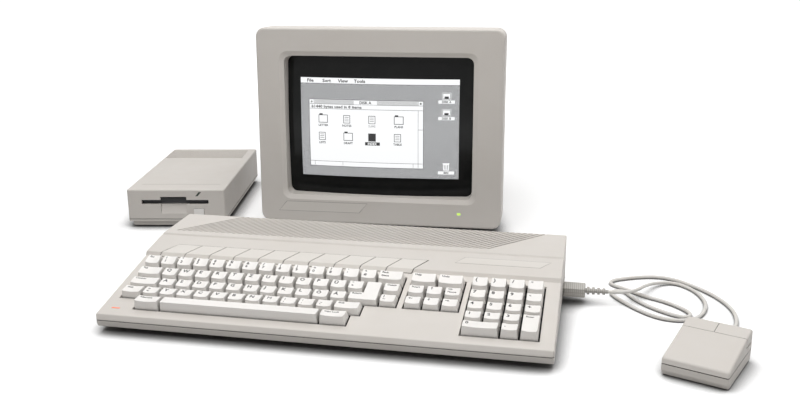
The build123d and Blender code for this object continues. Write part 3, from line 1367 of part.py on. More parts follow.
def peripheral_sockets():
    """Sockets and switch frames in the backs of the monitor and the drive."""
    parts = []
    for u0, u1, w0, w1 in back_sockets():
        body = block(u0, u1, HOUSING_END - 20, HOUSING_END + SOCKET_PROUD, w0, w1)
        body += block(u0 - 3, u1 + 3, HOUSING_END - 20, HOUSING_END - BEZEL_WALL, w0 - 3, w1 + 3)
        body -= block(u0 + 2.5, u1 - 2.5, HOUSING_END - 14, HOUSING_END + 2, w0 + 2.5, w1 - 2.5)
        parts.append(body.moved(MONITOR))
    parts.append(switch_frame(BEZEL_WALL).moved(MONITOR * monitor_switch_place()))
    for s0, s1 in drive_rear_sockets():
        y1, z0 = DRIVE_D + SOCKET_PROUD, drive_board_top()
        body = block(s0, s1, y1 - SOCKET_D, y1, z0, z0 + SOCKET_H)
        body -= rod_y((s0 + s1) / 2, y1 - SOCKET_BORE, y1 + 1, z0 + SOCKET_H / 2, SOCKET_H / 2 - 0.8)
        parts.append(body.moved(DRIVE))
    parts.append(switch_frame(DRIVE_WALL).moved(DRIVE * drive_switch_place()))
    return parts


# ---------------------------------------------------------------- mouse, in its own frame
MOUSE = Location(MOUSE_AT, (0, 0, MOUSE_YAW))


def mouse_outline(inset):
    """Side outline of the mouse in (v, z), taken in by a wall."""
    low = MOUSE_LOW + inset
    tuck, tuck_z = MOUSE_TUCK
    return [(tuck + inset, low), (0.8 + inset, max(tuck_z, low + 1)), (0.5 + inset, MOUSE_SPLIT),
            (2.0 + inset, MOUSE_FRONT_H - inset),
            (0.82 * MOUSE_L, MOUSE_H - 1.5 - inset), (MOUSE_L - 3.0 - inset, MOUSE_H - inset),
            (MOUSE_L - inset, MOUSE_SPLIT), (MOUSE_L - 4.0 - inset, low)]


def mouse_form():
    """Outer form of the mouse, both shells together."""
    form = along_x(mouse_outline(0.0), [1.5, 1.0, 3.0, 3.0, 40.0, 3.0, 6.0, 2.0], 0, MOUSE_W)
    ends = [f for f in form.faces() if abs(f.normal_at().X) > 0.99]
    rims = [e for f in ends for e in f.edges() if e.center().Z > MOUSE_SPLIT + 3]
    return fillet(rims, MOUSE_EDGE_R) & slab(0, MOUSE_W, 0, MOUSE_L, 0, 50, MOUSE_R)


def mouse_inside(inset, x0, x1):
    """Inner form of the mouse at a depth below its skin."""
    return along_x(mouse_outline(inset), [0.8, 0.8, 0.8, 0.8, 30.0, 0.8, 0.8, 0.8], x0, x1)


def mouse_hollow():
    return mouse_inside(MOUSE_WALL, MOUSE_WALL, MOUSE_W - MOUSE_WALL)


def mouse_top_shell():
    """Palm rest, open at the buttons, with their pivot pin."""
    middle = MOUSE_W / 2
    shell = mouse_form() - mouse_hollow() - block(-1, MOUSE_W + 1, -1, MOUSE_L + 1, -1, MOUSE_SPLIT)
    shell -= block(-1, MOUSE_W + 1, BUTTON_V - BUTTON_GAP, MOUSE_L + 5, BUTTON_Z - BUTTON_DROP, MOUSE_H + 5)
    v, z = button_pivot()
    shell += rod_x(MOUSE_WALL - 0.5, MOUSE_W - MOUSE_WALL + 0.5, v, z, BUTTON_PIN_R - SCREW_FIT)
    shell += rod(middle, MOUSE_BOSS_V, MOUSE_SPLIT, MOUSE_H, BOSS_R) \
        & mouse_inside(MOUSE_WALL / 2, 1, MOUSE_W - 1)
    return shell - rod(middle, MOUSE_BOSS_V, MOUSE_SPLIT - 1, MOUSE_SPLIT + 4, SCREW_R + SCREW_FIT)


def button_pivot():
    """Place and height of the line that both buttons turn on."""
    return BUTTON_V - 4.0, BUTTON_Z


def mouse_button(left):
    """One button: cap over the far end, arm under the palm rest to its pivot, and plunger."""
    middle = MOUSE_W / 2
    x0, x1 = (0, middle - BUTTON_GAP / 2) if left else (middle + BUTTON_GAP / 2, MOUSE_W)
    zone = block(x0, x1, BUTTON_V, MOUSE_L + 5, BUTTON_Z, MOUSE_H + 5)
    inside = mouse_inside(BUTTON_SKIN, BUTTON_SKIN, MOUSE_W - BUTTON_SKIN)
    cap = (mouse_form() - inside) & zone
    v, z = button_pivot()
    near = button_arm_x(left)
    arm = block(near, near + BUTTON_ARM, v - 2.5, BUTTON_V + 5, z - 2.0, z + 2.5)
    arm += block(near, near + BUTTON_ARM, BUTTON_V + 1, BUTTON_V + 5, z, MOUSE_H - 3)
    plunger = block(near + 8, near + 12, SWITCH_V - 2, SWITCH_V + 2, switch_top() + 0.75, MOUSE_H - 2)
    cap += (arm + plunger) & mouse_inside(BUTTON_SKIN / 2, 1, MOUSE_W - 1)
    return cap - rod_x(x0 - 1, x1 + 1, v, z, BUTTON_PIN_R)


def button_arm_x(left):
    return MOUSE_WALL + 3 if left else MOUSE_W - MOUSE_WALL - 3 - BUTTON_ARM


def switch_top():
    """Top of the micro switches under the buttons."""
    return MOUSE_BOARD_Z + BOARD_T + 4.0


def cord_gland(gap):
    """Space of the cord's strain relief in the mouse's far end."""
    return rod_y(MOUSE_W / 2, MOUSE_L - 12, MOUSE_L + 12, CORD_EXIT_Z, CORD_END_R + gap)


def mouse_base():
    """Base with the ball's socket, the rollers' bearings and the posts."""
    middle, floor = MOUSE_W / 2, MOUSE_LOW + MOUSE_WALL
    base = (mouse_form() - mouse_hollow()) & block(-1, MOUSE_W + 1, -1, MOUSE_L + 1, -1, MOUSE_SPLIT)
    base -= block(-1, MOUSE_W + 1, -1, MOUSE_L + 1, MOUSE_SPLIT - SEAM_H, MOUSE_SPLIT) \
        - slab(SEAM_DEPTH, MOUSE_W - SEAM_DEPTH, 0.5 + SEAM_DEPTH, MOUSE_L - SEAM_DEPTH, 0, 40, MOUSE_R)
    base += rod(middle, BALL_V, floor - 1, MOUSE_LOW + RING_T + RING_COVER, RING_R + 2)
    base += rod(middle, BALL_V, floor - 1, BALL_Z - 4, BALL_R + 2.6) - roller_space()
    base += roller_bearings()
    base -= rod(middle, BALL_V, -1, BALL_Z, BALL_R + 1.0)
    base -= rod(middle, BALL_V, -1, MOUSE_LOW + RING_T, RING_R + FIT)
    base += rod(middle, MOUSE_BOSS_V, MOUSE_LOW, MOUSE_SPLIT, BOSS_R)
    base -= rod(middle, MOUSE_BOSS_V, MOUSE_LOW - 1, MOUSE_LOW + 3.0, SCREW_HEAD_R + 0.4)
    base -= rod(middle, MOUSE_BOSS_V, MOUSE_LOW, MOUSE_SPLIT + 1, SCREW_R + SCREW_FIT)
    base += [rod(x, v, floor - 0.5, MOUSE_BOARD_Z, 2.5) for x, v in mouse_board_posts()]
    return base - cord_gland(FIT / 2)


def mouse_board_posts():
    return [(x, v) for x in (9.0, MOUSE_W - 9.0) for v in (BUTTON_V - 1, SWITCH_V + 1)]


def roller_space():
    """Window of the ball's cage where the rollers reach it."""
    side = ROLLER_L / 2 + 6
    floor = MOUSE_LOW + RING_T + RING_COVER
    return [block(MOUSE_W / 2 - side, MOUSE_W / 2 + side, BALL_V + 6, BALL_V + 30, floor, 40),
            block(0, MOUSE_W / 2 - 6, BALL_V - side, BALL_V + side, floor, 40)]


def roller_reach():
    """Distance from the ball's centre to a roller's axis."""
    return BALL_R + ROLLER_R + FIT


def roller_bearings():
    """Bearing posts of the two rollers on the base."""
    floor, middle = MOUSE_LOW + 0.5, MOUSE_W / 2
    hole = ROLLER_END_R + SCREW_FIT
    v = BALL_V + roller_reach()
    posts = []
    for x in (middle - ROLLER_L / 2 - 2.6, middle + ROLLER_L / 2 + 0.6):
        post = block(x, x + 2, v - 3, v + 3, floor, BALL_Z + 3)
        posts.append(post - rod_x(x - 1, x + 3, v, BALL_Z, hole))
    u = middle - roller_reach()
    for y in (BALL_V - ROLLER_L / 2 - 2.6, BALL_V + ROLLER_L / 2 + 0.6):
        post = block(u - 3, u + 3, y, y + 2, floor, BALL_Z + 3)
        posts.append(post - rod_y(u, y - 1, y + 3, BALL_Z, hole))
    return posts


def encoder_roller():
    """Roller along X at the origin: shaft, journals and slotted disc."""
    half = ROLLER_L / 2
    shaft = rod_x(-half, half, 0, 0, ROLLER_R)
    shaft += rod_x(-half - 2.6, half + 4.6, 0, 0, ROLLER_END_R)
    disc = rod_x(half + 3.4, half + 4.4, 0, 0, DISC_R)
    slots = [Rot(360 / 12 * index, 0, 0) * block(half + 3, half + 5, -0.6, 0.6, DISC_R - 2.6, DISC_R - 0.8)
             for index in range(12)]
    return shaft + (disc - slots)


def forward_roller():
    """Roller turned by forward movement, axis across the mouse."""
    return encoder_roller().moved(Pos(MOUSE_W / 2, BALL_V + roller_reach(), BALL_Z))


def sideways_roller():
    """Roller turned by sideways movement, axis along the mouse."""
    return encoder_roller().moved(Pos(MOUSE_W / 2 - roller_reach(), BALL_V, BALL_Z) * Rot(0, 0, -90))


def mouse_ball():
    return Pos(MOUSE_W / 2, BALL_V, BALL_Z) * Sphere(BALL_R)


def ball_ring():
    """Turning ring that holds the ball in."""
    ring = rod(MOUSE_W / 2, BALL_V, MOUSE_LOW, MOUSE_LOW + RING_T, RING_R)
    ring -= rod(MOUSE_W / 2, BALL_V, MOUSE_LOW - 1, MOUSE_LOW + 3, RING_HOLE_R)
    mark = block(-0.8, 0.8, RING_R - 3.5, RING_R - 1.5, 0, MOUSE_LOW + 0.5)
    return ring - [Pos(MOUSE_W / 2, BALL_V, 0) * Rot(0, 0, 60 * index) * mark for index in range(6)]


def mouse_circuit_board():
    """Board between the ball and the far end, with the two micro switches."""
    z = MOUSE_BOARD_Z
    edge = MOUSE_WALL + 1.5
    board = block(edge, MOUSE_W - edge, BUTTON_V - 3.5, SWITCH_V + 4, z, z + BOARD_T)
    for left in (True, False):
        x = button_arm_x(left) + BUTTON_ARM / 2
        board += block(x - 3, x + 3, SWITCH_V - 3, SWITCH_V + 3, z + 1, switch_top())
    return board


def cord_strain_relief():
    """Relief that carries the cord out of the mouse, with its flange inside the wall."""
    middle = MOUSE_W / 2
    wall = MOUSE_L - 2.0
    relief = rod_y(middle, wall - CORD_END_IN, wall + 2, CORD_EXIT_Z, CORD_END_R)
    relief += rod_y(middle, wall - CORD_END_IN, wall - CORD_END_IN + 1.5, CORD_EXIT_Z, CORD_END_R + 1.5)
    start = Plane(origin=(middle, wall + 2, CORD_EXIT_Z), z_dir=(0, 1, 0))
    taper = loft([start * Circle(CORD_END_R), start.offset(CORD_END_OUT - 2) * Circle(CORD_R + 0.5)])
    return relief + taper


# ---------------------------------------------------------------- cord and plug
def plug_face():
    return CONSOLE_W + PLUG_GAP


def mouse_plug():
    """Moulded plug: metal shell in the port, hood and ribbed strain relief."""
    face, y = plug_face(), PORT_Y[0]
    shell = block(face - PLUG_INSERT, face + 1, y - 8.3, y + 8.3, PORT_Z - 4.0, PORT_Z + 4.0)
    shell -= block(face - PLUG_INSERT - 1, face, y - 7.3, y + 7.3, PORT_Z - 3.0, PORT_Z + 3.0)
    hood = Pos(face + PLUG_L / 2, y, PORT_Z) * fillet(Box(PLUG_L, PLUG_W, PLUG_H).edges(), 1.4)
    neck = Plane(origin=(face + PLUG_L - 0.2, y, PORT_Z), z_dir=(1, 0, 0))
    relief = loft([neck * Circle(RELIEF_CORE[0]), neck.offset(RELIEF_L + 0.2) * Circle(RELIEF_CORE[1])])
    step = RELIEF_L / (RELIEF_RINGS + 0.4)
    for index in range(RELIEF_RINGS):
        radius = RELIEF_R[0] + (RELIEF_R[1] - RELIEF_R[0]) * index / RELIEF_RINGS
        x = face + PLUG_L + step * (index + 0.55)
        relief += rod_x(x - RELIEF_RING_W / 2, x + RELIEF_RING_W / 2, y, PORT_Z, radius)
    return shell + hood + relief


def cord_points():
    """Whole route: straight out of the plug, the points on the desk, straight into the mouse."""
    x = plug_face() + PLUG_L + RELIEF_L
    v = MOUSE_L - 2.0 + CORD_END_OUT
    leaving = [Vector(x, PORT_Y[0], PORT_Z), Vector(x + CORD_STRAIGHT, PORT_Y[0], PORT_Z)]
    arriving = [(MOUSE * Pos(MOUSE_W / 2, v + run, CORD_EXIT_Z)).position for run in (CORD_STRAIGHT, 0)]
    return leaving + [Vector(*point) for point in CORD_ROUTE] + arriving


def cord_radii(points):
    """Largest arc that each corner of the route leaves room for."""
    radii = []
    for before, corner, after in zip(points, points[1:], points[2:]):
        run = min((corner - before).length, (after - corner).length)
        turn = math.radians((corner - before).get_angle(after - corner))
        radii.append(0.45 * run / math.tan(turn / 2))
    return radii


def mouse_cord():
    """Cord's tube along its route."""
    points = cord_points()
    radii = cord_radii(points)
    path = FilletPolyline(*points, radius=radii)
    start = Plane(origin=points[0], z_dir=points[1] - points[0])
    tube = sweep(start * Circle(CORD_R), path=path)
    length = path.length
    print("cord length", round(length, 1), "tube", round(tube.volume / (math.pi * CORD_R ** 2), 1))
    print("cord radii", [round(radius, 1) for radius in radii])
    print("under", LIMP, "diameters:", sum(radius < LIMP * 2 * CORD_R for radius in radii))
    return tube


# ---------------------------------------------------------------- fasteners and feet of all units
def case_screws():
    """Screws of the cases, the key plate and the tube's band."""
    screws = [screw(x, y, CASE_FLOOR_Z + 3.2 - SCREW_HEAD_H, CASE_SPLIT_Z + 4) for x, y in CONSOLE_SCREWS]
    low = PLATE_TOP - PLATE_T - BOARD_T
    for x, s in plate_posts():
        pin = rod(x, s, low - 1.2, low, 2 * PLATE_PIN_R) + rod(x, s, low, PLATE_TOP + 4, PLATE_PIN_R)
        screws.append(pin.moved(DECK))
    screws += [screw(u, d, PLINTH_Z[0] + 3.2 - SCREW_HEAD_H, DRIVE_SPLIT + 5.5).moved(DRIVE)
               for u, d in drive_screws()]
    head = MOUSE_LOW + 3.0 - SCREW_HEAD_H
    screws.append(screw(MOUSE_W / 2, MOUSE_BOSS_V, head, MOUSE_SPLIT + 3.8).moved(MOUSE))
    for u, w in tube_posts():
        back = LUG_D + 2
        pin = rod_y(u, back, back + SCREW_HEAD_H, w, SCREW_HEAD_R) + rod_y(u, LUG_D - 8, back, w, SCREW_R)
        screws.append(pin.moved(MONITOR))
    return screws


def rubber_feet():
    """Feet of the console, the monitor's plinth and the drive, and the mouse's glides."""
    edge = 30.0
    feet = [rod(x, y, 0, CASE_FLOOR_Z, FOOT_R)
            for x in (edge, CONSOLE_W - edge) for y in (edge, CONSOLE_D - edge)]
    feet += [rod(u, d, 0, PAD_H, FOOT_R).moved(MONITOR_BASE) for u, d in foot_pads()]
    feet += [rod(u, d, 0, PLINTH_Z[0], 5.0).moved(DRIVE)
             for u in (18, DRIVE_W - 18) for d in (44, DRIVE_D - 52)]
    feet += [slab(x - 6, x + 6, v - 2.5, v + 2.5, 0, MOUSE_LOW, 2.4).moved(MOUSE)
             for x in (12, MOUSE_W - 12) for v in (MOUSE_BOSS_V - 2, MOUSE_L - 10)]
    return feet


# ---------------------------------------------------------------- whole set
def moved_list(shapes, place):
    shapes = shapes if isinstance(shapes, list) else [shapes]
    return [shape.moved(place) for shape in shapes]


def desk_nodes():
    """Every node on the desk, before the origin is moved under the middle of the set."""
    nodes = {name: moved_list(make(), Location()) for name, make in {
        "console_top_case": console_top_case, "console_bottom_case": console_bottom_case,
        "keyboard_frame": keyboard_frame, "keyboard_circuit_board": keyboard_circuit_board,
        "key_switches": key_switches, "function_keys": function_keys, "return_key": return_key,
        "mainboard": mainboard, "board_chips": board_chips, "console_shield": console_shield,
        "console_sockets": console_sockets, "console_power_light": console_power_light,
        "console_power_switch": console_power_switch, "reset_button": reset_button,
        "peripheral_sockets": peripheral_sockets, "case_screws": case_screws, "rubber_feet": rubber_feet,
        "mouse_cord": mouse_cord, "mouse_plug": mouse_plug}.items()}
    nodes.update(key_rows())
    for place, makers in (
            (MONITOR, (monitor_bezel, monitor_rear_housing, picture_tube, tube_band, deflection_yoke,
                       monitor_circuit_boards, flyback_transformer, loudspeaker, monitor_power_light,
                       monitor_power_switch)),
            (MONITOR_BASE, (monitor_foot,)),
            (DRIVE, (drive_top_cover, drive_base, drive_mechanism_frame, drive_logic_board,
                     drive_activity_light, eject_button, dust_flap, spindle_hub, head_carriage,
                     drive_power_switch)),
            (MOUSE, (mouse_top_shell, mouse_base, mouse_circuit_board, mouse_ball, ball_ring,
                     forward_roller, sideways_roller, cord_strain_relief))):
        for make in makers:
            nodes[make.__name__] = moved_list(make(), place)
    brightness, volume = wheel_places()
    nodes["brightness_wheel"] = moved_list(thumbwheel(brightness), MONITOR)
    nodes["volume_wheel"] = moved_list(thumbwheel(volume), MONITOR)
    nodes["left_button"] = moved_list(mouse_button(True), MOUSE)
    nodes["right_button"] = moved_list(mouse_button(False), MOUSE)
    return nodes


CORD_NODES = ("mouse_cord", "mouse_plug")


def origin_shift(nodes):
    """Move that brings the middle of the set's footprint, without the cord, to the origin."""
    boxes = [shape.bounding_box() for name, shapes in nodes.items() if name not in CORD_NODES
             for shape in shapes]
    x = (min(box.min.X for box in boxes) + max(box.max.X for box in boxes)) / 2
    y = (min(box.min.Y for box in boxes) + max(box.max.Y for box in boxes)) / 2
    return Pos(-x, -y, 0)


def main():
    os.makedirs("parts", exist_ok=True)
    nodes = desk_nodes()
    shift = origin_shift(nodes)
    print("shift", shift.position)
    for name, shapes in nodes.items():
        solids = [solid for shape in shapes for solid in shape.moved(shift).solids()]
        export_step(Compound(children=solids), f"parts/{name}.step")
        print(name, len(solids))


if __name__ == "__main__":
    main()
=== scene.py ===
"""Dresses the vintage home computer: materials, key legends, screen picture, cord and studio."""
import json
import math

import bmesh
import bpy
from mathutils import Matrix, Vector
from mathutils.bvhtree import BVHTree


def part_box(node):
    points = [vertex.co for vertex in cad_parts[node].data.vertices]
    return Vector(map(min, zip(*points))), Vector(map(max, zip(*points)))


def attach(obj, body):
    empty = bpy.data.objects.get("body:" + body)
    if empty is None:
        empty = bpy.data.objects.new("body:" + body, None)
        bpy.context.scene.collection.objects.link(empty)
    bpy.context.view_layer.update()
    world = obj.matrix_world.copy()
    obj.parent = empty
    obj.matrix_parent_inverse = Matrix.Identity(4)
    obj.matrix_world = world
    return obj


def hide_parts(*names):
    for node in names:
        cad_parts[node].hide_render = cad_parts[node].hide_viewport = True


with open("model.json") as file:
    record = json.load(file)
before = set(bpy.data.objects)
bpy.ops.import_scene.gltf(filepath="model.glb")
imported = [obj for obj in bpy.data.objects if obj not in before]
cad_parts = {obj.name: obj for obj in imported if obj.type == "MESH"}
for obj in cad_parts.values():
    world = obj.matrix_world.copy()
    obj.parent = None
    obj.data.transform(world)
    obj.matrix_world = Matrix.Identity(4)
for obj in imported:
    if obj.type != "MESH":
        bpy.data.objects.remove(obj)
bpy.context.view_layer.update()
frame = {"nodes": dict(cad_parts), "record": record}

MM = 0.001
SCENE = bpy.context.scene
NODES = frame["nodes"]
ROOT = "desk_set"

# ---------------------------------------------------------------- places, in millimetres of the part
CONSOLE_W, CONSOLE_D = 470.0, 240.0
DECK_Y, DECK_Z, DECK_SLOPE = 2.5, 21.5, 11.8    # front edge of the key deck, and its slope
MONITOR_X, MONITOR_Y, MONITOR_TURN = 43.7, 377.1, 2.77
MONITOR_Z, MONITOR_LEAN = 12, 2.4               # leans back
DRIVE_X, DRIVE_Y, DRIVE_TURN = -144.1, 347, 10.43
PITCH = 19.05                                   # from key to key
KEY_ROWS = 5                                    # counted from the back
KEYS_X, KEYS_S = 12.1, 12.8                     # left front corner of the keys, along the deck
CURSOR_X, PAD_X = 314.3, 378.3                  # left edges of the cursor block and the number pad


def place(x, y, z, turn=0.0, tilt=0.0):
    """Matrix of a frame at a point in millimetres, turned about Z and then tilted about its own X."""
    return (Matrix.Translation((x * MM, y * MM, z * MM)) @ Matrix.Rotation(math.radians(turn), 4, "Z")
            @ Matrix.Rotation(math.radians(tilt), 4, "X"))


far_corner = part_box("console_top_case")[1]
DESK = place(far_corner.x / MM - CONSOLE_W, far_corner.y / MM - CONSOLE_D, 0)
DECK = DESK @ place(0, DECK_Y, DECK_Z, tilt=DECK_SLOPE)
MONITOR = (DESK @ place(MONITOR_X, MONITOR_Y, 0, turn=MONITOR_TURN)
           @ place(0, 0, MONITOR_Z, tilt=-MONITOR_LEAN))
DRIVE = DESK @ place(DRIVE_X, DRIVE_Y, 0, turn=DRIVE_TURN)


# ---------------------------------------------------------------- shader nodes
# A mix node's inputs and outputs by number, because their names repeat.
FACTOR, FIRST_NUMBER, SECOND_NUMBER, FIRST_COLOUR, SECOND_COLOUR = 0, 2, 3, 6, 7
NUMBER_OUT, COLOUR_OUT = 0, 2


class Tree:
    """Nodes of one material or of the world."""

    def __init__(self, owner, empty=True):
        owner.use_nodes = True
        self.tree = owner.node_tree
        if empty:
            self.tree.nodes.clear()

    def new(self, kind, **settings):
        node = self.tree.nodes.new(kind)
        for key, value in settings.items():
            setattr(node, key, value)
        return node

    def link(self, source, target):
        self.tree.links.new(source, target)

    def remap(self, value, low, high, to_low=0.0, to_high=1.0, kind="LINEAR"):
        """Carries the span from low to high over to another span."""
        node = self.new("ShaderNodeMapRange", interpolation_type=kind)
        limits = {"From Min": low, "From Max": high, "To Min": to_low, "To Max": to_high}
        for name, number in limits.items():
            node.inputs[name].default_value = number
        self.link(value, node.inputs["Value"])
        return node.outputs[0]

    def math(self, operation, first, second):
        node = self.new("ShaderNodeMath", operation=operation)
        self.link(first, node.inputs[0])
        self.link(second, node.inputs[1])
        return node.outputs[0]

    def seen_directly(self):
        """1 for rays from the camera, a mirror or glass, else 0."""
        path = self.new("ShaderNodeLightPath")
        seen = path.outputs["Is Camera Ray"]
        for name in ("Is Glossy Ray", "Is Transmission Ray"):
            seen = self.math("MAXIMUM", seen, path.outputs[name])
        return seen


# ---------------------------------------------------------------- camera and studio
LENS, SENSOR = 41.99, 36.0
CLIP_NEAR, CLIP_FAR = 0.05, 100
CAMERA_AT = (498.9, -807.9, 395.7)              # in the console's own millimetres
CAMERA_RIGHT = Vector((0.97779, 0.20944, -0.00743))
CAMERA_DOWN = Vector((0.05160, -0.27497, -0.96007))
CAMERA_AHEAD = Vector((-0.20312, 0.93836, -0.27967))

WORLD_LEVEL = 0.10
SOFTBOXES = [                                   # name, place, aim, size, watts
    ("overhead", (-0.05, 0.10, 1.7), (-0.05, 0.0, 0.0), (2.1, 1.8), 26.5),
    ("front_high", (0.10, -1.15, 1.3), (0.0, 0.1, 0.15), (1.1, 0.7), 10),
    ("right_side", (2.3, 0.4, 1.0), (0.1, 0.0, 0.1), (1.6, 1.6), 7.5),
]

TABLE_R, TABLE_SIDES = 14, 96                   # radius in metres
TABLE_BELOW = 0.0003                            # under the feet
TABLE_WHITE = 0.92                              # as seen by the camera
TABLE_BOUNCE = 0.56                             # as it lights the undersides
LIFT_NEAR = 0.26                                # added to the white at the set
LIFT_SPAN = (0.42, 1.2)                         # metres from the middle over which it grows to 1
LIFT_OPEN = (0.45, 0.98)                        # openness over which it fades in
CONTACT_REACH = 0.03                            # metres within which a piece shades the table
CONTACT_OPEN = (0.2, 0.95)                      # openness over which that shade fades out
CONTACT_SHADE = 0.2                             # what the shade leaves of the white


def make_camera():
    data = bpy.data.cameras.new("camera")
    data.lens, data.sensor_width = LENS, SENSOR
    data.clip_start, data.clip_end = CLIP_NEAR, CLIP_FAR
    camera = bpy.data.objects.new("camera", data)
    SCENE.collection.objects.link(camera)
    turn = Matrix((CAMERA_RIGHT, -CAMERA_DOWN, -CAMERA_AHEAD)).transposed().to_4x4()
    camera.matrix_world = DESK @ place(*CAMERA_AT) @ turn
    SCENE.camera = camera


def make_world():
    """Dim white light from all round, behind a backdrop that looks white."""
    world = bpy.data.worlds.new("studio")
    SCENE.world = world
    sky = Tree(world)
    mix = sky.new("ShaderNodeMixShader")
    for index, strength in ((1, WORLD_LEVEL), (2, 1.0)):
        light = sky.new("ShaderNodeBackground")
        light.inputs["Color"].default_value = (1, 1, 1, 1)
        light.inputs["Strength"].default_value = strength
        sky.link(light.outputs[0], mix.inputs[index])
    sky.link(sky.seen_directly(), mix.inputs[0])
    sky.link(mix.outputs[0], sky.new("ShaderNodeOutputWorld").inputs[0])


def softbox(name, at, aim, size, watts):
    data = bpy.data.lights.new(name, "AREA")
    data.shape, data.size, data.size_y = "RECTANGLE", size[0], size[1]
    data.energy = watts
    lamp = bpy.data.objects.new(name, data)
    SCENE.collection.objects.link(lamp)
    lamp.location = at
    lamp.rotation_euler = (Vector(aim) - Vector(at)).to_track_quat("-Z", "Y").to_euler()


def floor_material():
    """White table: matt, with a painted contact shadow where a piece stands close, and a lift that grows
    away from the set and fades there.
    """
    material = bpy.data.materials.new("floor")
    table = Tree(material)
    seen = table.seen_directly()
    distance = table.new("ShaderNodeVectorMath", operation="LENGTH")
    table.link(table.new("ShaderNodeTexCoord").outputs["Object"], distance.inputs[0])
    around = table.new("ShaderNodeAmbientOcclusion", samples=8)
    around.inputs["Distance"].default_value = CONTACT_REACH
    openness = around.outputs["AO"]
    smooth = "SMOOTHSTEP"
    lift = table.remap(distance.outputs["Value"], *LIFT_SPAN, LIFT_NEAR, 1.0, smooth)
    lift = table.math("MULTIPLY", lift, table.remap(openness, *LIFT_OPEN, 0.0, 1.0, smooth))
    # Painted contact shadow: the white seen by the camera darkens where a piece stands within reach.
    shaded = table.remap(openness, *CONTACT_OPEN, CONTACT_SHADE * TABLE_WHITE, TABLE_WHITE, smooth)
    white = table.new("ShaderNodeMix", data_type="FLOAT")
    white.inputs[FIRST_NUMBER].default_value = TABLE_BOUNCE
    table.link(seen, white.inputs[FACTOR])
    table.link(shaded, white.inputs[SECOND_NUMBER])
    matt = table.new("ShaderNodeBsdfDiffuse")
    table.link(white.outputs[NUMBER_OUT], matt.inputs["Color"])
    glow = table.new("ShaderNodeEmission")
    table.link(table.math("MULTIPLY", lift, seen), glow.inputs["Strength"])
    both = table.new("ShaderNodeAddShader")
    table.link(matt.outputs[0], both.inputs[0])
    table.link(glow.outputs[0], both.inputs[1])
    table.link(both.outputs[0], table.new("ShaderNodeOutputMaterial").inputs[0])
    return material


def make_floor():
    mesh = bpy.data.meshes.new("floor")
    form = bmesh.new()
    bmesh.ops.create_circle(form, cap_ends=True, segments=TABLE_SIDES, radius=TABLE_R)
    form.to_mesh(mesh)
    form.free()
    floor = bpy.data.objects.new("floor", mesh)
    floor.location.z = -TABLE_BELOW
    SCENE.collection.objects.link(floor)
    mesh.materials.append(floor_material())


# ---------------------------------------------------------------- materials
WAVE_SCALE = 0.314              # scale of a wave texture whose bands are one unit apart
NOISE_LOW, NOISE_HIGH = 0.3, 0.7        # nearly all of a noise lies between these


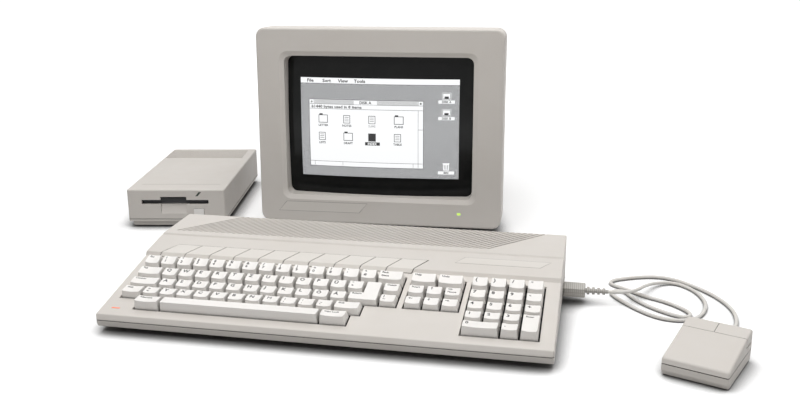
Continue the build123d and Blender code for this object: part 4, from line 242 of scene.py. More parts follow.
class Shader(Tree):
    """One procedural material round a Principled shader. Sizes and depths are in millimetres."""

    def __init__(self, name, rough=0.5, metal=0.0, gloss=0.5):
        self.material = bpy.data.materials.new(name)
        super().__init__(self.material, empty=False)
        self.shader = self.tree.nodes["Principled BSDF"]
        self.shader.inputs["Roughness"].default_value = rough
        self.shader.inputs["Metallic"].default_value = metal
        self.shader.inputs["Specular IOR Level"].default_value = gloss
        self.where = self.new("ShaderNodeTexCoord").outputs["Object"]
        self.normal = None

    def stretched(self, scale):
        """The place, multiplied along each axis, for a pattern that is long along one of them."""
        mapping = self.new("ShaderNodeMapping")
        mapping.inputs["Scale"].default_value = scale
        self.link(self.where, mapping.inputs["Vector"])
        return mapping.outputs[0]

    def noise(self, size, detail=2.0, rough=0.5, where=None):
        """Cloudy pattern: size of a patch, number of finer levels, and how much each adds."""
        node = self.new("ShaderNodeTexNoise")
        node.inputs["Scale"].default_value = 1 / (size * MM)
        node.inputs["Detail"].default_value = detail
        node.inputs["Roughness"].default_value = rough
        self.link(where or self.where, node.inputs["Vector"])
        return node.outputs["Fac"]

    def cells(self, size, feature="F1"):
        """Distance from the nearest of many scattered points."""
        node = self.new("ShaderNodeTexVoronoi", feature=feature)
        node.inputs["Scale"].default_value = 1 / (size * MM)
        self.link(self.where, node.inputs["Vector"])
        return node.outputs["Distance"]

    def bands(self, size, direction="X", distortion=0.0):
        """Soft stripes across one axis, a size apart."""
        node = self.new("ShaderNodeTexWave", bands_direction=direction)
        node.inputs["Scale"].default_value = WAVE_SCALE / (size * MM)
        node.inputs["Distortion"].default_value = distortion
        self.link(self.where, node.inputs["Vector"])
        return node.outputs["Fac"]

    def crevice(self, reach):
        """0 in the depth of a joint or groove, 1 on an open face."""
        node = self.new("ShaderNodeAmbientOcclusion", samples=4)
        node.inputs["Distance"].default_value = reach * MM
        return node.outputs["AO"]

    def mix(self, factor, first, second):
        """Each may be a socket, and the colours a tuple."""
        node = self.new("ShaderNodeMix", data_type="RGBA")
        for source, number in ((factor, FACTOR), (first, FIRST_COLOUR), (second, SECOND_COLOUR)):
            target = node.inputs[number]
            if isinstance(source, bpy.types.NodeSocket):
                self.link(source, target)
            elif isinstance(source, tuple):
                target.default_value = (*source, 1)
            else:
                target.default_value = source
        return node.outputs[COLOUR_OUT]

    def colour(self, source):
        self.link(source, self.shader.inputs["Base Color"])

    def roughness(self, value, low, high):
        """Roughness that follows a noise from low to high."""
        varied = self.remap(value, NOISE_LOW, NOISE_HIGH, low, high)
        self.link(varied, self.shader.inputs["Roughness"])

    def bump(self, height, depth, strength):
        """Bump with a depth in millimetres, on top of the ones before."""
        node = self.new("ShaderNodeBump")
        node.inputs["Distance"].default_value = depth * MM
        node.inputs["Strength"].default_value = strength
        self.link(height, node.inputs["Height"])
        if self.normal is not None:
            self.link(self.normal, node.inputs["Normal"])
        self.normal = node.outputs[0]
        self.link(self.normal, self.shader.inputs["Normal"])

    def glow(self, colour, strength):
        self.shader.inputs["Emission Color"].default_value = (*colour, 1)
        self.shader.inputs["Emission Strength"].default_value = strength

    def picture(self, colour, under):
        """Lit by a colour socket, over a dark base of one grey."""
        self.shader.inputs["Base Color"].default_value = (under, under, under, 1)
        self.link(colour, self.shader.inputs["Emission Color"])
        self.shader.inputs["Emission Strength"].default_value = 1.0


def tint(colour, factor, warm=0.0):
    """The colour made lighter or darker by a factor, and warmer by a share."""
    return (colour[0] * factor * (1 + warm), colour[1] * factor, colour[2] * factor * (1 - warm))


CLOUDS, SPECKS = 55, 0.9        # sizes of the slow and the fine changes of colour
HANDLING = 18                   # size of the changes of gloss
SPECKS_SHARE = 0.06
SHADE_FULL, SHADE_GONE = 0.30, 0.72       # openness at which the painted shade is full, and gone
# share by which the painted shade in joints and grooves is warmer
SHADE_WARM = 0.03


def moulded(name, colour, rough=0.5, grain=0.5, depth=0.02, dirt_and_shade=0.72, reach=1.8):
    """Moulded plastic: fine spark-eroded grain, slight clouds of colour, and painted shade near a joint,
    groove or gap.
    """
    made = Shader(name, rough, gloss=0.4)
    clouds = made.remap(made.noise(CLOUDS, 3, 0.6), 0.35, 0.65)
    body = made.mix(clouds, tint(colour, 0.975, 0.008), tint(colour, 1.02, -0.004))
    specks = made.remap(made.noise(SPECKS, 2, 0.6), NOISE_LOW, NOISE_HIGH)
    body = made.mix(made.mix(SPECKS_SHARE, (0.5, 0.5, 0.5), specks), tint(colour, 0.94), body)
    # Painted shade: the colour darkens where a joint, groove or gap between parts leaves a face little open,
    # as shade falls there.
    unshaded = made.remap(made.crevice(reach), SHADE_FULL, SHADE_GONE)
    made.colour(made.mix(unshaded, tint(colour, dirt_and_shade, SHADE_WARM), body))
    made.roughness(made.noise(HANDLING, 3, 0.6), rough - 0.05, rough + 0.07)
    made.bump(made.noise(grain, 2, 0.6), depth, 0.6)
    made.bump(made.cells(grain * 1.7, "SMOOTH_F1"), depth * 0.6, 0.5)
    return made.material


def brushed(name, colour, rough=0.35, direction=(1, 18, 18), plate=True):
    """Rolled or drawn metal with fine lines along one direction."""
    made = Shader(name, rough, metal=1.0)
    lines = made.noise(1.2, 4, 0.65, made.stretched(direction))
    stains = made.remap(made.noise(26, 3, 0.6), 0.35, 0.7)
    drawn = made.mix(lines, tint(colour, 0.93), tint(colour, 1.05))
    made.colour(made.mix(stains, tint(colour, 0.86, 0.02), drawn))
    made.roughness(lines, rough - 0.08, rough + 0.12)
    made.bump(lines, 0.012, 0.5)
    if plate:
        made.bump(made.cells(7), 0.01, 0.3)
    return made.material


def soft_rubber(name, colour, rough=0.75):
    """Matt rubber with a trace of dust."""
    made = Shader(name, rough, gloss=0.3)
    dust = made.remap(made.noise(4, 4, 0.65), 0.45, 0.75)
    made.colour(made.mix(dust, colour, tint(colour, 1.5, 0.03)))
    made.roughness(made.noise(2.5, 3), rough - 0.08, rough + 0.1)
    made.bump(made.noise(0.35, 3, 0.7), 0.03, 0.7)
    return made.material


def jacket(name, colour):
    """Soft cord jacket: satin, with handling dirt, and painted shade between the rings of the relief and
    where the cord lies on the table.
    """
    made = Shader(name, 0.48, gloss=0.45)
    dirt_and_shade = made.remap(made.noise(22, 4, 0.6), 0.4, 0.75)
    body = made.mix(dirt_and_shade, colour, tint(colour, 0.9, 0.03))
    # Painted shade: much darker where the cord lies close to the table or between the relief's rings.
    unshaded = made.remap(made.crevice(1.5), 0.10, 0.50)
    made.colour(made.mix(unshaded, tint(colour, 0.30, 0.03), body))
    made.roughness(made.noise(9, 3), 0.42, 0.58)
    made.bump(made.noise(0.7, 3, 0.6), 0.02, 0.5)
    return made.material


TRACKS = {
    "Scale": 95.0, "Mortar Size": 0.028, "Mortar Smooth": 0.15, "Brick Width": 0.85, "Row Height": 0.19}
SOLDER = (0.62, 0.6, 0.55)


def circuit(name, mask, under):
    """Circuit board: lacquer over copper tracks that show as slightly lighter, raised lines."""
    made = Shader(name, 0.32, gloss=0.5)
    tracks = made.new("ShaderNodeTexBrick")
    for key, value in TRACKS.items():
        tracks.inputs[key].default_value = value
    made.link(made.where, tracks.inputs["Vector"])
    lines = made.remap(tracks.outputs["Fac"], 0.2, 0.8)
    blots = made.remap(made.noise(9, 3, 0.6), 0.46, 0.54)
    vias = made.remap(made.cells(4.3), 0.10, 0.14)
    base = made.mix(blots, mask, tint(mask, 1.35))
    base = made.mix(lines, base, under)
    made.colour(made.mix(vias, SOLDER, base))
    made.bump(lines, 0.05, 0.6)
    made.bump(vias, 0.06, 0.6)
    return made.material


def winding(name, colour):
    """Enamelled copper wire, laid in fine turns."""
    made = Shader(name, 0.3, metal=0.9)
    turns = made.bands(0.55, "Z", 0.6)
    made.colour(made.mix(turns, tint(colour, 0.45), colour))
    made.roughness(turns, 0.24, 0.5)
    made.bump(turns, 0.18, 0.8)
    return made.material


def tube_glass(name):
    """Dark glass of a picture tube, with a faint film."""
    made = Shader(name, 0.06, gloss=0.14)
    film = made.remap(made.noise(40, 3, 0.6), 0.4, 0.7)
    made.colour(made.mix(film, (0.010, 0.0105, 0.0105), (0.014, 0.0145, 0.014)))
    made.roughness(made.noise(14, 4, 0.65), 0.05, 0.10)
    made.bump(made.noise(60, 1), 0.02, 0.2)
    return made.material


def lamp_lens(name, colour, shine):
    """Ribbed light pipe with a glowing core."""
    made = Shader(name, 0.22, gloss=0.6)
    ribs = made.bands(0.8)
    made.colour(made.mix(ribs, tint(colour, 0.7), colour))
    made.bump(ribs, 0.08, 0.5)
    made.roughness(made.noise(1.5), 0.18, 0.3)
    made.glow(colour, shine)
    return made.material


def grip(name, colour):
    """Plug body: short ridges to hold it by, darker and a little warmer between them."""
    made = Shader(name, 0.5, gloss=0.45)
    ridges = made.remap(made.bands(2.2), 0.25, 0.6)
    cuts = made.remap(made.bands(3.6, "Z"), 0.08, 0.2)
    both = made.mix(cuts, (0.0, 0.0, 0.0), ridges)
    made.colour(made.mix(both, tint(colour, 0.72, 0.03), colour))
    made.bump(both, 0.25, 0.8)
    made.bump(made.noise(0.6, 2, 0.6), 0.015, 0.5)
    return made.material


# Colours, linear.
CASE = (0.665, 0.628, 0.586)
KEY = (0.90, 0.875, 0.845)
BANK = (0.72, 0.685, 0.64)
DARK_PLASTIC, SWITCH_PLASTIC = (0.032, 0.032, 0.033), (0.016, 0.016, 0.017)
INK = (0.02, 0.02, 0.02)
BLACK_PAINT = (0.012, 0.012, 0.013)
RUBBER, BALL = (0.022, 0.022, 0.022), (0.11, 0.11, 0.115)
CORD, PLUG = (0.74, 0.722, 0.688), (0.54, 0.525, 0.495)
STEEL, DARK_STEEL = (0.62, 0.61, 0.59), (0.42, 0.41, 0.39)
COPPER, FERRITE = (0.62, 0.24, 0.09), (0.045, 0.043, 0.042)
LACQUER, LACQUERED_TRACK = (0.012, 0.085, 0.03), (0.03, 0.16, 0.06)
RED, GREEN, UNLIT = (0.80, 0.20, 0.10), (0.48, 0.74, 0.10), (0.03, 0.045, 0.03)
PLATE_RIM, PLATE_FACE = (0.28, 0.265, 0.25), (0.70, 0.665, 0.62)

LOOKS = {
    # In the moulded looks, the darkening setting is the share of the colour left in the painted shade of
    # joints, gaps between keys and grooves, and reach is how far in millimetres that painted shade reaches.
    "case_plastic": (moulded, dict(colour=CASE, dirt_and_shade=0.09)),
    "key_plastic": (moulded, dict(colour=KEY, rough=0.42, grain=0.35, depth=0.012, dirt_and_shade=0.34, reach=4.5)),
    "bank_plastic": (moulded, dict(colour=BANK, rough=0.46, grain=0.4, depth=0.015, dirt_and_shade=0.14, reach=3)),
    "dark_plastic": (moulded, dict(colour=DARK_PLASTIC, dirt_and_shade=0.6)),
    "switch_plastic": (moulded, dict(colour=SWITCH_PLASTIC, rough=0.4, depth=0.012, dirt_and_shade=0.6)),
    "rubber": (soft_rubber, dict(colour=RUBBER)),
    "cord_jacket": (jacket, dict(colour=CORD)),
    "grip": (grip, dict(colour=PLUG)),
    "glass": (tube_glass, {}),
    "steel": (brushed, dict(colour=STEEL)),
    "screw_steel": (brushed, dict(colour=DARK_STEEL, rough=0.3, direction=(6, 6, 6), plate=False)),
    "board": (circuit, dict(mask=LACQUER, under=LACQUERED_TRACK)),
    "copper": (winding, dict(colour=COPPER)),
    "ferrite": (moulded, dict(colour=FERRITE, rough=0.6, grain=0.8, depth=0.05)),
    "red_light": (lamp_lens, dict(colour=RED, shine=0.55)),
    "green_light": (lamp_lens, dict(colour=GREEN, shine=0.9)),
    "unlit_lens": (lamp_lens, dict(colour=UNLIT, shine=0.0)),
    "frame_paint": (moulded, dict(colour=BLACK_PAINT, rough=0.55, grain=0.6, depth=0.015)),
    "ball_rubber": (soft_rubber, dict(colour=BALL, rough=0.6)),
}
MATERIALS = {name: make(name, **details) for name, (make, details) in LOOKS.items()}
OWN_MATERIAL = {"mouse_plug": "grip", "dust_flap": "frame_paint"}


def dress_nodes():
    """Gives each CAD node the material of its slot, or its own."""
    for part in frame["record"]["subparts"]:
        node = NODES[part["node"]]
        material = MATERIALS[OWN_MATERIAL.get(part["node"], part["material_slot"])]
        if not node.data.materials:
            node.data.materials.append(material)
        for slot in node.material_slots:
            slot.material = material


# ---------------------------------------------------------------- printed and applied pieces
CELL = 12.0             # an applied piece is divided this finely, to follow the surface
SURFACES = {}           # ray tree of each CAD node asked for


def surface(name):
    """Ray tree of a CAD node's mesh."""
    if name not in SURFACES:
        mesh = NODES[name].data
        corners = [vertex.co for vertex in mesh.vertices]
        SURFACES[name] = BVHTree.FromPolygons(corners, [face.vertices for face in mesh.polygons])
    return SURFACES[name]


def dropped(name, matrix, x, y, height, start):
    """Where a ray from (x, y, start) of a frame along its -Z meets the node, raised by height."""
    origin = matrix @ Vector((x * MM, y * MM, start * MM))
    way = (matrix.to_3x3() @ Vector((0, 0, -1))).normalized()
    hit = surface(name).ray_cast(origin, way)[0]
    if hit is None:
        return None
    return hit - way * height * MM


class Sheet:
    """Thin printed or applied layers that follow a node's surface, gathered in one piece."""

    def __init__(self, name, node, matrix, start=30.0):
        self.name, self.node, self.matrix, self.start = name, node, matrix, start
        self.points, self.faces, self.kinds, self.materials = [], [], [], []

    def kind(self, material):
        if material not in self.materials:
            self.materials.append(material)
        return self.materials.index(material)

    def add(self, points, faces, material, low, high):
        """Closed form from points (x, y, t), with t of 0 at its underside and 1 on top."""
        base = len(self.points)
        placed = [dropped(self.node, self.matrix, x, y, low + (high - low) * t, self.start)
                  for x, y, t in points]
        if None in placed:
            return
        self.points += placed
        kind = self.kind(material)
        for face in faces:
            self.faces.append([base + index for index in face])
            self.kinds.append(kind)

    def slab(self, outline, material, low, high, cells=(1, 1)):
        """Slab on a four-sided outline, divided into cells along its first and second sides."""
        a, b, c, d = outline
        nx, ny = cells
        grid = []
        for t in (0, 1):
            for j in range(ny + 1):
                for i in range(nx + 1):
                    u, v = i / nx, j / ny
                    near = (a[0] + (b[0] - a[0]) * u, a[1] + (b[1] - a[1]) * u)
                    far = (d[0] + (c[0] - d[0]) * u, d[1] + (c[1] - d[1]) * u)
                    grid.append((near[0] + (far[0] - near[0]) * v, near[1] + (far[1] - near[1]) * v, t))
        row, layer = nx + 1, (nx + 1) * (ny + 1)
        faces = []
        for j in range(ny):
            for i in range(nx):
                k = j * row + i
                faces.append((layer + k, layer + k + 1, layer + k + row + 1, layer + k + row))
                faces.append((k, k + row, k + row + 1, k + 1))
        edge = [(i, 0) for i in range(nx)] + [(nx, j) for j in range(ny)]
        edge += [(i, ny) for i in range(nx, 0, -1)] + [(0, j) for j in range(ny, 0, -1)]
        ring = [j * row + i for i, j in edge]
        for k, here in enumerate(ring):
            after = ring[(k + 1) % len(ring)]
            faces.append((here, after, layer + after, layer + here))
        self.add(grid, faces, material, low, high)

    def box(self, x0, y0, x1, y1, material, low, high):
        cells = (max(1, math.ceil((x1 - x0) / CELL)), max(1, math.ceil((y1 - y0) / CELL)))
        self.slab([(x0, y0), (x1, y0), (x1, y1), (x0, y1)], material, low, high, cells)

    def shape(self, outline, material, low, high):
        """Flat polygon, convex, as a thin slab."""
        count = len(outline)
        points = [(x, y, t) for t in (0, 1) for x, y in outline]
        faces = [tuple(range(count, 2 * count)), tuple(range(count - 1, -1, -1))]
        faces += [(i, (i + 1) % count, count + (i + 1) % count, count + i) for i in range(count)]
        self.add(points, faces, material, low, high)

    def word(self, text, x, y, size, material, low, high, align="LEFT", stretch=1.0):
        points, faces = lettering(text, size, align, stretch)
        self.add([(x + px, y + py, t) for px, py, t in points], faces, material, low, high)

    def finish(self, body, slot_name):
        mesh = bpy.data.meshes.new(self.name)
        mesh.from_pydata(self.points, [], self.faces)
        for material in self.materials:
            mesh.materials.append(material)
        mesh.polygons.foreach_set("material_index", self.kinds)
        mesh.update()
        piece = bpy.data.objects.new(self.name, mesh)
        SCENE.collection.objects.link(piece)
        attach(piece, body)


WORDS = {}              # points and faces of each word drawn
CAPITAL = 0.729         # height of a capital, as a share of the font's size
BOLD = 0.028            # a letter's strokes grow by this share of its size
FOLDING = set("M*")     # letters whose outline would fold over itself


def lettering(text, size, align, stretch):
    """Points (x, y, t) and faces of a word whose capitals are size high, as a closed form."""
    key = (text, size, align, stretch)
    if key not in WORDS:
        curve = bpy.data.curves.new("word", "FONT")
        curve.body, curve.size, curve.align_x = text, 1.0, align
        curve.extrude, curve.resolution_u = 0.5, 2
        curve.offset = 0.0 if FOLDING & set(text) else BOLD
        item = bpy.data.objects.new("word", curve)
        SCENE.collection.objects.link(item)
        depsgraph = bpy.context.evaluated_depsgraph_get()
        mesh = bpy.data.meshes.new_from_object(item.evaluated_get(depsgraph))
        scale = size / CAPITAL
        points = [(v.co.x * scale * stretch, v.co.y * scale, v.co.z + 0.5) for v in mesh.vertices]
        WORDS[key] = (points, [tuple(face.vertices) for face in mesh.polygons])
        bpy.data.objects.remove(item)
        bpy.data.curves.remove(curve)
        bpy.data.meshes.remove(mesh)
    return WORDS[key]


# ---------------------------------------------------------------- key legends
PRINT_LOW, PRINT_HIGH = -0.05, 0.05
LETTER = 4.7            # height of a lone capital on a key
PAIR = 3.5              # of one of two symbols
SMALL = 2.6             # of a word's capital
LEGEND_IN = 4.3         # from the cell's left edge to the legend
LINE_TOP = 13.0         # from the cell's front edge to the upper legend's top
LINE_NEXT = 8.3         # and to the lower legend's
UMLAUT_DROP = 0.9
ARROW_IN, ARROW_DROP = 6.4, 2.0         # an arrow's middle, from the cell's left edge and below the top line
ARROW_HALF = 2.1
ARROW_SHAFT = [(-1, -0.16), (0.1, -0.16), (0.1, 0.16), (-1, 0.16)]
ARROW_HEAD = [(0.1, -0.6), (1, 0), (0.1, 0.6)]
ARROWS = {"<left>": 180, "<right>": 0, "<up>": 90, "<down>": 270}

# Places and widths along a row, in key pitches.
SIDE_KEY = 14.5         # the column right of the return key
RETURN_LEG = 12.75      # the wide front part of the return key
ALTERNATE, CAPS_LOCK = 1.25, 11.75
TAB_W, CONTROL_W, SHIFT_W, HELP_W = 1.5, 1.75, 1.25, 1.5


def legends_of_row(start, row, left, texts, widths=None):
    """(x, s, text) of each key of one row: x and s are the cell's left front corner."""
    x = start
    places = []
    for index, text in enumerate(texts):
        width = widths[index] if widths else 1
        places.append((left + x * PITCH, KEYS_S + (KEY_ROWS - row) * PITCH, text))
        x += width
    return places


def arrow(sheet, x, y, turn, material):
    """Arrow with its middle at (x, y)."""
    c, s = math.cos(math.radians(turn)), math.sin(math.radians(turn))
    for outline in (ARROW_SHAFT, ARROW_HEAD):
        turned = [(x + (px * c - py * s) * ARROW_HALF, y + (px * s + py * c) * ARROW_HALF)
                  for px, py in outline]
        sheet.shape(turned, material, PRINT_LOW, PRINT_HIGH)


def legend_size(line, count):
    """Height of one line of a legend that has so many lines."""
    if len(line) > 1:
        return SMALL
    return LETTER if count == 1 else PAIR


def print_keys(node, places, ink):
    """Prints each key's legend: two lines, one letter, or a small word."""
    sheet = Sheet(node + "_legends", node, DECK)
    for x, s, text in places:
        if text in ARROWS:
            arrow(sheet, x + ARROW_IN, s + LINE_TOP - ARROW_DROP, ARROWS[text], ink)
            continue
        lines = text.split("\n")
        for index, line in enumerate(lines):
            top = s + (LINE_TOP, LINE_NEXT)[index] - (UMLAUT_DROP if line in "ÄÖÜ" else 0)
            size = legend_size(line, len(lines))
            sheet.word(line, x + LEGEND_IN, top - size, size, ink, PRINT_LOW, PRINT_HIGH)
    sheet.finish(node, "dark_plastic")


def print_all_keys(ink):
    shifted = [upper + "\n" + lower for upper, lower in zip("!\"§$%&/()=?`^", "1234567890ß'#")]
    print_keys("number_row_keys", legends_of_row(0, 1, KEYS_X, ["Esc"] + shifted + ["Back\nspace"]), ink)
    upper = ["Tab"] + list("QWERTZUIOPÜ") + ["*\n+"]
    upper_places = legends_of_row(0, 2, KEYS_X, upper, [TAB_W] + [1] * 12)
    print_keys("upper_row_keys", upper_places + legends_of_row(SIDE_KEY, 2, KEYS_X, ["Delete"]), ink)
    home = ["Control"] + list("ASDFGHJKLÖÄ")
    home_places = legends_of_row(0, 3, KEYS_X, home, [CONTROL_W] + [1] * 11)
    print_keys("home_row_keys", home_places + legends_of_row(SIDE_KEY, 3, KEYS_X, ["|\n~"]), ink)
    lower = ["Shift", ">\n<"] + list("YXCVBNM") + [";\n,", ":\n.", "_\n-", "Shift"]
    print_keys("lower_row_keys", legends_of_row(0, 4, KEYS_X, lower, [SHIFT_W] + [1] * 12), ink)
    bottom = legends_of_row(ALTERNATE, 5, KEYS_X, ["Alternate"])
    bottom += legends_of_row(CAPS_LOCK, 5, KEYS_X, ["Caps Lock"])
    print_keys("bottom_row_keys", bottom, ink)
    print_keys("return_key", legends_of_row(RETURN_LEG, 3, KEYS_X, ["Return"]), ink)
    cursor = legends_of_row(0, 1, CURSOR_X, ["Help", "Undo"], [HELP_W, HELP_W])
    cursor += legends_of_row(0, 2, CURSOR_X, ["Insert", "<up>", "Clr\nHome"])
    cursor += legends_of_row(0, 3, CURSOR_X, ["<left>", "<down>", "<right>"])
    print_keys("cursor_keys", cursor, ink)
    pad = []
    for row, texts in enumerate(("()/*", "789-", "456+", "123"), 1):
        pad += legends_of_row(0, row, PAD_X, texts)
    pad += legends_of_row(0, 5, PAD_X, ["0", "."], [2, 1])
    pad += legends_of_row(3, 4, PAD_X, ["Enter"])
    print_keys("keypad_keys", pad, ink)


# ---------------------------------------------------------------- screen picture
SCREEN = (57.0, 274.5, 64.5, 199.5)     # left, right, bottom and top of the lit picture on the glass
FRONT = Matrix.Rotation(math.radians(90), 4, "X")   # a plane's y upwards, facing the user
DOT = 0.34
DOT_PALE, DOT_DARK = (0.66, 0.67, 0.68, 1), (0.06, 0.06, 0.065, 1)
LIT_WHITE, LIT_BLACK = (0.98, 0.99, 1.0), (0.012, 0.012, 0.014)

# Layers of the picture, as heights over the glass.
DESKTOP, PAPER, ON_PAPER = (0.05, 0.09), (0.12, 0.16), (0.19, 0.21)
DISK_FACE, DISK_SHUTTER = (0.24, 0.26), (0.29, 0.31)
WINDOW, ON_WINDOW = (0.19, 0.22), (0.25, 0.27)
TITLE_PAPER, TITLE_TEXT = (0.29, 0.31), (0.34, 0.36)
ICON, ICON_PAPER, ICON_LINE, ICON_TEXT = (0.25, 0.28), (0.29, 0.31), (0.32, 0.34), (0.30, 0.32)

RULE, HAIR, FINE = 0.5, 0.45, 0.4       # widths of lines
MENU_WORDS = ("File", "Sort", "View", "Tools")
MENU_H, MENU_TEXT, MENU_RISE = 7.4, 4.3, 1.6
MENU_IN, MENU_STEP, MENU_STRETCH = 9, 22, 1.15
WINDOW_LEFT, WINDOW_RIGHT, WINDOW_LOW, WINDOW_TOP = 12, 48, 14, 22     # in from the picture's edges
WINDOW_FRAME = 0.6
TITLE, TITLE_H, TITLE_HALF, TITLE_SIZE, TITLE_RISE = "DISK A", 6.2, 16, 3.9, 1.3
STRIPES, STRIPE_IN, STRIPE_RISE, STRIPE_STEP = 5, 7.5, 0.9, 1.05
STATUS, STATUS_H, STATUS_SIZE, STATUS_RISE = "61440 bytes used in 8 items", 6.4, 3.8, 1.4
STATUS_IN, STATUS_STRETCH = 3, 1.2
BUTTON_IN, BUTTON_RISE, CLOSE_BUTTON, FULL_BUTTON = 2.4, 2, 2, 2.2
CLOSE_W, SCROLL_W, SCROLL_H = 6.6, 7.0, 6.2
SCROLL_DOWN = 25.5                      # to the end of the upright slider
SLIDER_FROM, SLIDER_TO, CORNER_W = 6.2, 46, 6.8
ITEMS = ("LETTER", "NOTES", "SUMS", "PLANS", "LISTS", "DRAFT", "INDEX", "TABLE")
FOLDERS, CHOSEN = ("LETTER", "PLANS", "DRAFT"), "INDEX"
ITEMS_A_ROW, ITEM_IN, ITEM_STEP, ITEM_DOWN, ROW_STEP = 4, 13, 35, 19, 24
ITEM_H, FOLDER_W, PAGE_W = 11, 13.0, 9.5
FOLDER_EDGE, TAB_LEFT, TAB_RIGHT, TAB_TOP = 0.8, 0.1, 0.45, 1.15        # the tab in shares of the folder
PAGE_EDGE, TEXT_LEFT, TEXT_RIGHT, TEXT_W = 0.75, 1.8, 2.0, 0.6
TEXT_LEVELS = (0.28, 0.50, 0.72)        # in shares of the page
CHOSEN_OUT, CHOSEN_MIDDLE = 0.5, 4.8
CHOSEN_LABEL = (-5, 15.5, -5.5, -1.0)   # left, right, bottom and top, from the item's corner
NAME_SIZE, NAME_DROP = 3.0, 4.7
DESKTOP_IN, DISK_A_DOWN, DISK_B_DOWN, BIN_UP = 23, 19, 41, 12
LABEL_OUT, LABEL_LOW, LABEL_TOP, LABEL_DROP = 5, 5.6, 1.2, 4.8
DISK_W, DISK_H, DISK_EDGE, SHUTTER_IN, SHUTTER_TOP = 12, 9, 0.6, 3.2, 4
BIN_IN, BIN_H, LID_IN, LID_TOP = 2, 8.6, 1.2, 10.2
RIBS, RIB_IN, RIB_STEP, RIB_W, RIB_LOW, RIB_TOP = 3, 3.4, 2.2, 0.6, 1.2, 7.4


def screen_materials():
    """The picture's grey, white and black."""
    grey = Shader("screen_grey", 0.08, gloss=0.2)
    dots = grey.new("ShaderNodeTexChecker")
    dots.inputs["Scale"].default_value = 1 / (DOT * MM)
    dots.inputs["Color1"].default_value = DOT_PALE
    dots.inputs["Color2"].default_value = DOT_DARK
    grey.link(grey.where, dots.inputs["Vector"])
    grey.picture(dots.outputs["Color"], 0.04)

    def plain(name, level, ripple):
        shade = Shader(name, 0.08, gloss=0.2)
        lines = shade.bands(DOT, "Z")
        shade.picture(shade.mix(lines, tint(level, 1 - ripple), level), 0.05)
        return shade.material

    white = plain("screen_white", LIT_WHITE, 0.06)
    black = plain("screen_black", LIT_BLACK, 0.3)
    return grey.material, white, black


class Picture:
    """The lit picture, drawn with boxes and words in two inks."""

    def __init__(self):
        self.grey, self.white, self.black = screen_materials()
        self.sheet = Sheet("screen_picture", "picture_tube", MONITOR @ FRONT, start=60)

    def pale(self, x0, y0, x1, y1, layer):
        self.sheet.box(x0, y0, x1, y1, self.white, *layer)

    def dark(self, x0, y0, x1, y1, layer):
        self.sheet.box(x0, y0, x1, y1, self.black, *layer)

    def word(self, text, x, y, size, layer, align="LEFT", stretch=1.0):
        self.sheet.word(text, x, y, size, self.black, *layer, align, stretch)


def draw_folder(picture, x, y):
    """Small outlined folder with a tab. Gives its width."""
    w, h, edge = FOLDER_W, ITEM_H, FOLDER_EDGE
    picture.dark(x, y, x + w, y + h, ICON)
    picture.dark(x + TAB_LEFT * w, y + h, x + TAB_RIGHT * w, y + h * TAB_TOP, ICON)
    picture.pale(x + edge, y + edge, x + w - edge, y + h - edge, ICON_PAPER)
    return w


def draw_page(picture, x, y):
    """Small outlined sheet of paper with lines. Gives its width."""
    w, h, edge = PAGE_W, ITEM_H, PAGE_EDGE
    picture.dark(x, y, x + w, y + h, ICON)
    picture.pale(x + edge, y + edge, x + w - edge, y + h - edge, ICON_PAPER)
    for share in TEXT_LEVELS:
        level = y + h * share
        picture.dark(x + TEXT_LEFT, level, x + w - TEXT_RIGHT, level + TEXT_W, ICON_LINE)
    return w


def draw_chosen(picture, x, y, name):
    """The chosen item, white on black."""
    left, right, low, top = CHOSEN_LABEL
    picture.dark(x - CHOSEN_OUT, y, x + PAGE_W + CHOSEN_OUT, y + ITEM_H, ICON)
    picture.dark(x + left, y + low, x + right, y + top, ICON)
    middle = x + CHOSEN_MIDDLE
    picture.sheet.word(name, middle, y - NAME_DROP, NAME_SIZE, picture.white, *ICON_TEXT, "CENTER")


def draw_items(picture, left, status):
    """Folders and pages in rows, with their names below."""
    for index, name in enumerate(ITEMS):
        x = left + ITEM_IN + index % ITEMS_A_ROW * ITEM_STEP
        y = status - ITEM_DOWN - index // ITEMS_A_ROW * ROW_STEP
        if name == CHOSEN:
            draw_chosen(picture, x, y, name)
            continue
        wide = (draw_folder if name in FOLDERS else draw_page)(picture, x, y)
        picture.word(name, x + wide / 2, y - NAME_DROP, NAME_SIZE, ON_WINDOW, "CENTER")


def draw_title(picture, left, right, title, top):
    """Title on a striped bar."""
    middle = (left + right) / 2
    for line in range(STRIPES):
        level = title + STRIPE_RISE + line * STRIPE_STEP
        picture.dark(left + STRIPE_IN, level, right - STRIPE_IN, level + FINE, ON_WINDOW)
    picture.pale(middle - TITLE_HALF, title + FINE, middle + TITLE_HALF, top - FINE, TITLE_PAPER)
    picture.word(TITLE, middle, title + TITLE_RISE, TITLE_SIZE, TITLE_TEXT, "CENTER")


def draw_title_buttons(picture, left, right, title, top):
    """A small square at each end of the title, in a field of its own."""
    for x in (left + CLOSE_W, right - SCROLL_W):
        picture.dark(x, title, x + HAIR, top, ON_WINDOW)
    for x, size in ((left + BUTTON_IN, CLOSE_BUTTON), (right - BUTTON_IN - FULL_BUTTON, FULL_BUTTON)):
        picture.dark(x, title + BUTTON_RISE, x + size, title + BUTTON_RISE + size, ON_WINDOW)


def draw_scroll_bars(picture, left, right, low, status):
    """Bars below and on the right, each with a slider."""
    foot, side = low + SCROLL_H, right - SCROLL_W
    picture.dark(left, foot, right, foot + RULE, ON_WINDOW)
    picture.dark(side, low, side + HAIR, status, ON_WINDOW)
    picture.dark(side + HAIR, status - SCROLL_DOWN - RULE, right, status - SCROLL_DOWN, ON_WINDOW)
    for x in (left + SLIDER_FROM, left + SLIDER_TO, side - CORNER_W):
        picture.dark(x, low, x + FINE, foot, ON_WINDOW)


